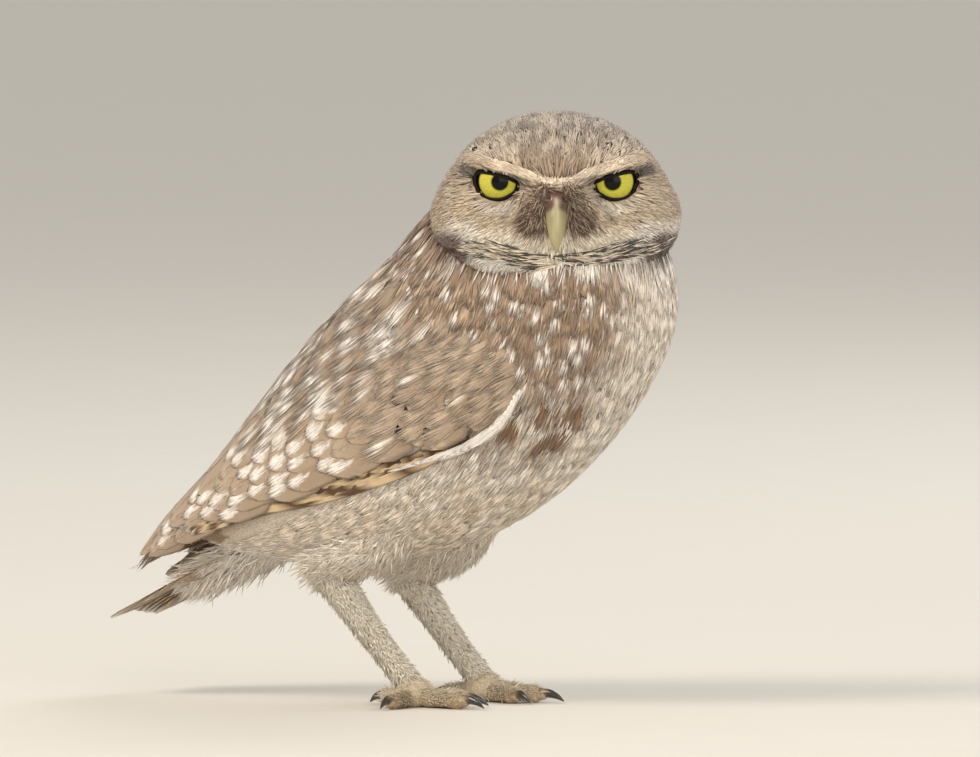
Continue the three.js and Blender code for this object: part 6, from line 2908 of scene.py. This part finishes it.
@dataclass(frozen=True)
class Tail:
    """Twelve tail quills fanned a little, and the fluffy white coverts under them."""

    root: tuple = (-58, 0, 57)
    drop: float = math.radians(28)
    quills: int = 12
    length: float = 63.0
    width: float = 12.5
    fan: float = math.radians(9)
    apart: float = 1.1
    step: float = 0.45
    down_tufts: int = 900
    seed: int = 71

    def down_the_tail(self, p: Array) -> Array:
        """Points of a level tail turned down by its drop."""
        c, s = math.cos(self.drop), math.sin(self.drop)
        x, z = p[..., 0], p[..., 2]
        return np.stack([c * x - s * z, p[..., 1], s * x + c * z], -1)

    def quill_roots(self) -> Roots:
        """The twelve quills' roots, the middle pair on top.

        Returns:
            The roots.
        """
        k = np.arange(self.quills) - (self.quills - 1) / 2
        turn = k / (self.quills / 2) * self.fan
        under = self.step * (np.abs(k) + 0.5 * (k > 0))
        at = np.stack([0 * k, k * self.apart, -under], -1)
        along = np.stack([-np.cos(turn), np.sin(turn), 0 * k], -1)
        out = np.broadcast_to([0.0, 0.0, 1.0], at.shape)
        patch = np.stack([0.5 + 0 * k, 0.5 + k / 16], -1)
        return Roots(at=self.down_the_tail(at) + np.array(self.root), along=self.down_the_tail(along),
                     out=self.down_the_tail(out), patch=patch)

    def paint(self, u: Array, v: Array, p: Array, one: Array) -> Array:
        """Brown with four pale bars and a white tip."""
        bars = smoothstep(np.sin(2 * np.pi * (u * 5.2 + 0.1)), 0.45, 0.8) * (u > 0.2)
        tint = mix(C.wing_dark * 0.85, C.wing_buff, bars * 0.85)
        return mix(tint, C.spot, smoothstep(u, 0.95, 1.0) * 0.8)

    def under_coverts(self, pile: Pile, rng: Rng) -> None:
        """Adds loose white barbs under the tail's root.

        Args:
            pile: Where they go.
            rng: The source of chance.
        """
        count = self.down_tufts
        share, turn = rng.random(count), rng.uniform(np.pi, 2 * np.pi, count)
        roots = TAIL_BED.roots(share * 0.62, turn)
        many, _ = tuft(roots, 4, 0.25, 1.5, rng)
        f = len(many)
        base = mix(C.white, C.belly, rng.random(f) * 0.8)

        def paint(u: Array, v: Array, p: Array, n: Array) -> Array:
            """Deeper at the root."""
            return base[:, None] * (0.76 + 0.3 * u)[..., None]

        Barb().grow(pile, many, rng.uniform(9, 15, f), rng.uniform(0.6, 1.0, f), paint, rng, low=-1.0,
                    high=rng.uniform(-0.2, 1.6, f), bend=rng.normal(0, 0.08, f))

    def upper_coverts(self, pile: Pile, rng: Rng) -> None:
        """Adds soft vanes over the tail's root.

        Args:
            pile: Where they go.
            rng: The source of chance.
        """
        rows = [(k, j + 0.5 * (k % 2)) for k in range(5) for j in range(5 + k % 2)]
        spot = np.array([(0.1 + 0.11 * k, 0.3 + j * 0.5) for k, j in rows])
        count = len(spot)
        roots = TAIL_BED.roots(spot[:, 0], spot[:, 1])
        base = mix(C.mantle, C.mantle_dark, rng.random(count))

        def paint(u: Array, v: Array, p: Array, n: Array) -> Array:
            """Brown with a pale tip."""
            tint = base[:, None] * (0.8 + 0.25 * u)[..., None]
            return mix(tint, C.wing_buff, smoothstep(u, 0.75, 0.95) * 0.6)

        Vane(rings=8, columns=6, fray=0.02, lift=(-1.2, -0.1), ruffle=0.004, edge=0.4, blunt=2.2).grow(
            pile, roots, rng.uniform(17, 20, count), rng.uniform(8.5, 10, count), paint, rng)

    def build(self) -> None:
        """Makes the quills and the coverts."""
        rng = np.random.default_rng(self.seed)
        quills, coverts, down = Pile(), Pile(), Pile()
        vane = Vane(rings=24, columns=8, root=0.5, fullest=0.35, edge=0.13, blunt=3.0, fray=0.006,
                    camber=0.08, lift=(0.0, 0.0), thick=0.5, ruffle=0.005)
        n = self.quills
        vane.grow(quills, self.quill_roots(), np.full(n, self.length), np.full(n, self.width), self.paint,
                  rng)
        self.upper_coverts(coverts, rng)
        self.under_coverts(down, rng)
        finish_pile(quills, "tail_quills", Plumage, "plumage", barb_pitch=0.9)
        finish_pile(coverts, "upper_tail_coverts", Plumage)
        finish_pile(down, "under_tail_coverts", Down)


# ---------------------------------------------------------------- legs and feet


@dataclass(frozen=True)
class Growth:
    """How barbs grow on a limb: the tufts and the blades in each, lengths at both ends, width and colours."""

    count: int
    blades: int
    length: tuple
    width: float
    tints: tuple
    # How far their tips stand off, and how far below the limb's own radius they lie
    high: float
    sink: float = 0.6
    # The range of turns round the limb that they cover
    turns: tuple = (0.0, 2 * math.pi)


THIGH_DOWN = Growth(count=1000, blades=4, length=(9.0, 8.0), width=0.95, tints=(C.white, C.belly), high=1.4)
SHANK_DOWN = Growth(count=2000, blades=3, length=(3.8, 2.6), width=0.58, tints=(C.leg, C.leg_shade), high=0.4)
TOE_DOWN = Growth(count=320, blades=3, length=(3.4, 2.4), width=0.46, tints=(C.toe, C.leg_shade), high=0.7,
                  sink=0.0, turns=(-0.1, math.pi + 0.1))


@dataclass(frozen=True)
class LegCoat:
    """A leg's short pale feathers: loose on the thigh, close and hair-like down the shank."""

    leg: Leg
    seed: int = 91

    def cover(self, limb: Limb, growth: Growth, rng: Rng) -> Pile:
        """Barbs all over one limb.

        Args:
            limb: What they grow on.
            growth: How they grow.
            rng: The source of chance.

        Returns:
            The joined barbs.
        """
        spot = scattered((0.0, growth.turns[0]), (1.0, growth.turns[1]), growth.count, rng)
        roots = limb.roots(spot[:, 0], spot[:, 1])
        many, owner = tuft(roots, growth.blades, 0.3, 0.9, rng)
        share = spot[owner, 0]
        f = len(many)
        base = mix(*growth.tints, noise(many.at, 3.0, 9) * 0.7 + 0.3 * rng.random(f))

        def paint(u: Array, v: Array, p: Array, n: Array) -> Array:
            """Deeper at the root."""
            return base[:, None] * (0.86 + 0.2 * u)[..., None]

        pile = Pile()
        length = lerp(*growth.length, share) * rng.uniform(0.8, 1.2, f)
        width = growth.width * rng.uniform(0.8, 1.2, f)
        high = growth.high * rng.uniform(0.2, 1.2, f) - growth.sink
        Barb().grow(pile, many, length, width, paint, rng, low=-0.8 - growth.sink, high=high,
                    bend=rng.normal(0, 0.1, f))
        return pile

    def build(self) -> None:
        """Makes the coats of the thigh, the shank and the toes."""
        rng = np.random.default_rng(self.seed + self.leg.side.value)
        word = self.leg.side.word
        finish_pile(self.cover(self.leg.thigh, THIGH_DOWN, rng), f"thigh_feathers_{word}", Down, "pale")
        finish_pile(self.cover(self.leg.tarsus, SHANK_DOWN, rng), f"shank_feathers_{word}", Down, "leg")
        toes = Pile()
        for toe in TOES:
            toes.join(self.cover(Foot(self.leg).limb(toe), TOE_DOWN, rng))
        toes.above_floor()
        finish_pile(toes, f"toe_feathers_{word}", Down, "toe")


@dataclass(frozen=True)
class Toe:
    """A toe's turn from straight ahead, its length, its claw's length and its radius."""

    name: str
    turn: float
    length: float
    claw: float
    radius: float


TOES = (Toe("inner", -20, 18, 8.5, 3.0), Toe("middle", 6, 22, 9, 3.2), Toe("outer", 84, 16, 8, 2.9),
        Toe("hind", 190, 12, 7, 2.9))


@dataclass(frozen=True)
class Foot:
    """A foot: four pebbled toes, plated above and padded below, a pad under the ankle, bristles and claws."""

    leg: Leg
    turn: float = -5.0
    claw_radius: float = 1.45
    form: tuple = ((0, 1.25, 1), (0.3, 1.05, 0.92), (0.6, 0.86, 0.86), (0.85, 0.84, 0.8), (0.97, 0.8, 0.66),
                   (1.05, 0.78, 0.3))
    plate: float = 1.9
    # The pad under the ankle: its radius, its middle's height and half its own height
    pad_radius: float = 6.2
    pad_height: tuple = (4.4, 5.0)
    corners: int = 28

    def limb(self, toe: Toe) -> Limb:
        """The toe's line and thickness, for the short feathers on it.

        Args:
            toe: The toe.

        Returns:
            The limb.
        """
        stops = [(*(np.array(self.leg.ankle) + self.way(toe) * share * toe.length)[:2], height * toe.radius)
                 for share, height, _ in self.form[:4]]
        return Limb(stops=tuple(stops), radii=tuple((girth * toe.radius,) * 2 for *_, girth in self.form[:4]),
                    upwards=(0.0, 0.0, 1.0))

    def way(self, toe: Toe) -> Array:
        """The level direction in which a toe points."""
        a = math.radians(self.turn + self.leg.side.value * toe.turn)
        return np.array([math.cos(a), math.sin(a), 0.0])

    def toe(self, pile: Pile, toe: Toe) -> None:
        """Adds one toe with the plates' steps above and swollen pads below.

        Args:
            pile: Where they go.
            toe: The toe.
        """
        t = np.linspace(0, len(self.form) - 1, 90)
        share, height, girth = smooth_at(self.form, t).T
        at = np.array(self.leg.ankle) + self.way(toe) * (share * toe.length)[:, None]
        at[:, 2] = height * toe.radius
        points, faces, u, v = tube(at, girth * toe.radius, girth * toe.radius, np.array([0, 0, 1.0]),
                                   self.corners)
        middle = np.vstack([np.repeat(at, self.corners, 0), at[:1], at[-1:]])
        away = points - middle
        plates = np.abs(np.sin(np.pi * u * toe.length / self.plate)) ** 0.6
        pads = 0.5 + 0.5 * np.cos(2 * np.pi * (u * 2.6 - 0.55))
        knuckle = 0.09 * np.cos(2 * np.pi * (u * 2.6 - 0.6)) * smoothstep(u, 0.2, 0.4)
        top = smoothstep(np.sin(v), 0.1, 0.7)
        below = smoothstep(-np.sin(v), 0.2, 0.9)
        rough = 0.06 * (noise(points, 0.9, 14) - 0.5)
        points = (middle + away * (1 + 0.12 * (plates - 1) * top * smoothstep(u, 0.25, 0.45)
                                   + 0.13 * (pads - 0.6) * below
                                   + knuckle + rough)[:, None])
        points[:, 2] = np.maximum(points[:, 2], 0.0)
        tint = mix(C.toe, C.toe_dark, noise(points, 2.6, 12) * 0.8)
        # Painted shade in the grooves between the plates on top
        tint = mix(tint, C.toe_dark, (1 - plates) * top * 0.8)
        tint = mix(tint, C.leg_shade, smoothstep(0.35 - u, 0, 0.3) * 0.4)
        add_plain(pile, points, faces, tint, u, v)

    def pad(self, pile: Pile) -> None:
        """Adds the swollen joint where the toes meet.

        Args:
            pile: Where they go.
        """
        z = np.linspace(-1, 1, 28)[1:-1]
        a = np.linspace(0, 2 * np.pi, 40, endpoint=False)
        h, t = np.meshgrid(np.sin(z * np.pi / 2), a, indexing="ij")
        r = np.sqrt(1 - h ** 2)
        reach = self.pad_radius * r
        rings = np.stack([reach * np.cos(t) + self.leg.ankle[0] + 0.8, reach * np.sin(t) + self.leg.ankle[1],
                          np.maximum(self.pad_height[0] + self.pad_height[1] * h, 0)], -1)
        points, faces = closed(rings)
        tint = mix(C.toe, C.toe_dark, noise(points, 2.6, 12) * 0.7)
        tint = mix(tint, C.leg_shade, 0.35)
        add_plain(pile, points, faces, tint, np.full(len(points), 0.5), np.zeros(len(points)))

    def claw(self, toe: Toe) -> Pile:
        """One curved claw of dark horn, drawn to a fine point just above the floor.

        Args:
            toe: The toe.

        Returns:
            The claw's shape.
        """
        stops = np.array([(0.0, 3.0, 1.0), (0.36, 3.2, 1.0), (0.72, 2.3, 0.66), (1.0, 0.75, 0.12)])
        s, z, r = smooth_at(stops, np.linspace(0, 3, 34)).T
        r = r * (1 + 0.25 * (1 - smoothstep(s, 0.0, 0.3)))
        r = np.maximum(r, 0.1)
        start = np.array(self.leg.ankle) + self.way(toe) * toe.length * 0.93
        at = start + self.way(toe) * (s * toe.claw)[:, None]
        at[:, 2] = z
        points, faces, u, v = tube(at, r * self.claw_radius * 0.82, r * self.claw_radius,
                                   np.array([0, 0, 1.0]), 24, 1.8)
        points[:, 2] = np.maximum(points[:, 2], 0.02)
        tint = mix(C.toe_dark, C.claw, smoothstep(u, 0.1, 0.45))
        pile = Pile()
        add_plain(pile, points, faces, tint, u, v)
        return pile

    def build(self) -> None:
        """Makes the foot, its bristles and its four claws."""
        word = self.leg.side.word
        pile = Pile()
        self.pad(pile)
        for toe in TOES:
            self.toe(pile, toe)
        foot = dress(pile.build(f"toes_{word}", Hide(f"toe_skin_{word}").build()), "toe", f"foot_{word}")
        Bristles(foot, f"toe_bristles_{word}").build()
        for toe in TOES:
            solid = f"claw_{word}_{toe.name}"
            horn = Horn(solid, roughness=0.25, coat=0.5).build()
            dress(self.claw(toe).build(f"talon_{word}_{toe.name}", horn), "claw", solid)


@dataclass(frozen=True)
class Bristles:
    """Short stiff bristles scattered over the toes' upper sides, set out by geometry nodes."""

    ground: Piece
    name: str
    density: float = 900000.0
    length: float = 1.6
    radius: float = 0.11
    # The width of the toes' patch on the unwrapped skin, in metres
    spread: float = 0.08
    # Bristles grow where the surface faces up by more than this, and lean forwards
    level: float = 0.15
    lean: tuple = (1.3, 0.0, -0.2)
    sizes: tuple = (0.5, 1.2)
    seed: int = 3

    def tree(self, finish: Material) -> tuple:
        """The nodes that scatter cones where the surface faces up.

        Args:
            finish: The bristles' material.

        Returns:
            The node group and its input sockets by name.
        """
        group = bpy.data.node_groups.new(self.name, "GeometryNodeTree")
        face = group.interface
        sockets = {"Ground": face.new_socket("Ground", in_out="INPUT", socket_type="NodeSocketGeometry")}
        for key in ("Density", "Length", "Radius"):
            sockets[key] = face.new_socket(key, in_out="INPUT", socket_type="NodeSocketFloat")
        face.new_socket("Bristles", in_out="OUTPUT", socket_type="NodeSocketGeometry")
        add = Nodes(group).add
        given = add("NodeGroupInput").outputs
        parts = add("ShaderNodeSeparateXYZ", i0=add("GeometryNodeInputNormal").outputs[0])
        up = add("FunctionNodeCompare", {"data_type": "FLOAT", "operation": "GREATER_THAN"},
                 i0=parts.outputs[2], i1=self.level)
        spots = add("GeometryNodeDistributePointsOnFaces", {"distribute_method": "RANDOM"},
                    Mesh=given["Ground"], Selection=up.outputs[0], Density=given["Density"], Seed=self.seed)
        cone = add("GeometryNodeMeshCone", Vertices=4, Side_Segments=2, Radius_Top=0.0,
                   Radius_Bottom=given["Radius"], Depth=given["Length"])
        lean = add("ShaderNodeVectorMath", {"operation": "ADD"}, i0=spots.outputs["Normal"], i1=self.lean)
        aim = add("FunctionNodeAlignRotationToVector", {"axis": "Z"}, Vector=lean.outputs[0])
        size = add("FunctionNodeRandomValue", {"data_type": "FLOAT"}, i2=self.sizes[0], i3=self.sizes[1],
                   Seed=self.seed + 1)
        put = add("GeometryNodeInstanceOnPoints", Points=spots.outputs["Points"],
                  Instance=cone.outputs["Mesh"], Rotation=aim.outputs[0], Scale=size.outputs[1])
        real = add("GeometryNodeRealizeInstances", i0=put.outputs[0])
        done = add("GeometryNodeSetMaterial", Geometry=real.outputs[0], Material=finish)
        add("NodeGroupOutput", i0=done.outputs[0])
        return group, sockets

    def build(self) -> None:
        """Runs the nodes over the toes and keeps the result as a plain mesh."""
        finish = Horn(f"{self.name}_horn", roughness=0.5, coat=0.0).build()
        group, sockets = self.tree(finish)
        piece = shown_as(self.name, self.ground.data.copy())
        nodes = piece.modifiers.new("bristles", "NODES")
        nodes.node_group = group
        for key, value in (("Density", self.density), ("Length", self.length * MM),
                           ("Radius", self.radius * MM)):
            nodes[sockets[key].identifier] = value
        mesh = bpy.data.meshes.new_from_object(piece.evaluated_get(bpy.context.evaluated_depsgraph_get()))
        bpy.data.objects.remove(piece)
        p = points_of(mesh)
        paint_on(mesh, mix(C.leg_shade, C.toe_dark, noise(p / MM, 1.4, 5)))
        layer = mesh.uv_layers.get("OFBake") or mesh.uv_layers.new(name="OFBake")
        corners = np.zeros(len(mesh.loops), np.int32)
        mesh.loops.foreach_get("vertex_index", corners)
        flat = (p[corners][:, :2] - p[:, :2].min(0)) / self.spread + 0.05
        layer.data.foreach_set("uv", flat.astype(np.float32).ravel())
        dress(shown_as(self.name, mesh), "toe")


# ---------------------------------------------------------------- floor, light and camera


@dataclass(frozen=True)
class Lamp:
    """A soft square lamp: its place and width in metres, its power in watts and its colour."""

    name: str
    place: tuple
    size: float
    power: float
    tint: str


LAMPS = (Lamp("key", (-0.7, -1.5, 1.7), 0.9, 27.0, "#fff3e2"),
         Lamp("fill", (1.7, -1.4, 0.9), 1.8, 19.0, "#fff8f0"),
         Lamp("back", (0.3, 1.8, 1.5), 1.2, 14.0, "#ffffff"))


@dataclass(frozen=True)
class Stage:
    """A plain pale floor, soft studio light, and the camera at the photo's angle."""

    azimuth: float = 27.0
    elevation: float = 3.0
    distance: float = 6.0
    picture: tuple = (16.1, 104.8)
    field_width: float = 316.0
    sensor: float = 36.0
    floor_radius: float = 40.0
    sky: str = "#ece9e4"
    sky_strength: float = 0.78
    # What the lamps look at, in metres
    middle: tuple = (0.01, 0.0, 0.1)

    def floor(self) -> None:
        """A round floor so wide that its edge lies at the height of the eye."""
        turn = np.linspace(0, 2 * np.pi, 64, endpoint=False)
        rim = np.stack([np.cos(turn), np.sin(turn), 0 * turn], -1) * self.floor_radius
        mesh = bpy.data.meshes.new("floor")
        mesh.from_pydata(rim.tolist(), [], [list(range(len(turn)))])
        mesh.materials.append(PaleBoard("painted_board").build())
        shown_as("floor", mesh)

    def hang(self, lamp: Lamp) -> None:
        """Hangs a lamp so that it looks at the owl's middle.

        Args:
            lamp: The lamp.
        """
        light = bpy.data.lights.new(lamp.name, "AREA")
        light.size, light.energy = lamp.size, lamp.power
        light.color = tuple(srgb(lamp.tint))
        hung = shown_as(lamp.name, light)
        hung.location = lamp.place
        hung.rotation_mode = "QUATERNION"
        hung.rotation_quaternion = (Vector(self.middle) - Vector(lamp.place)).to_track_quat("-Z", "Y")

    def light(self) -> None:
        """A warm key from the upper left of the camera, a wide fill, and a light behind for the outline."""
        for lamp in LAMPS:
            self.hang(lamp)
        world = bpy.data.worlds.new("studio")
        world.use_nodes = True
        ground = world.node_tree.nodes["Background"]
        ground.inputs["Color"].default_value = rgba(self.sky)
        ground.inputs["Strength"].default_value = self.sky_strength
        bpy.context.scene.world = world
        bpy.context.scene.view_settings.view_transform = "Standard"

    def camera(self) -> None:
        """The camera at the photo's angle and framing."""
        a, e = math.radians(self.azimuth), math.radians(self.elevation)
        back = Vector((math.sin(a) * math.cos(e), -math.cos(a) * math.cos(e), math.sin(e)))
        right = Vector((math.cos(a), math.sin(a), 0.0))
        up = Vector((-math.sin(a) * math.sin(e), math.cos(a) * math.sin(e), math.cos(e)))
        aim = (right * self.picture[0] + up * self.picture[1]) * MM + Vector(SHIFT)
        data = bpy.data.cameras.new("camera")
        data.sensor_width = self.sensor
        data.lens = self.sensor * self.distance / (self.field_width * MM)
        camera = shown_as("camera", data)
        camera.location = aim + back * self.distance
        camera.rotation_mode = "QUATERNION"
        camera.rotation_quaternion = (-back).to_track_quat("-Z", "Y")
        bpy.context.scene.camera = camera

    def build(self) -> None:
        """Sets up floor, light and camera."""
        self.floor()
        self.light()
        self.camera()


def main() -> None:
    """Builds the owl piece by piece, then the stage, and logs each piece's face count."""
    assemblies = [Skin(), HeadCoat(), *(Eye(e) for e in EYES), Bill(), BodyCoat(), *(Wing(s) for s in Side),
                  Tail(), *(LegCoat(leg) for leg in LEGS), *(Foot(leg) for leg in LEGS), Stage()]
    for assembly in assemblies:
        log.info("building %s", type(assembly).__name__)
        assembly.build()


if __name__ == "__main__":
    main()
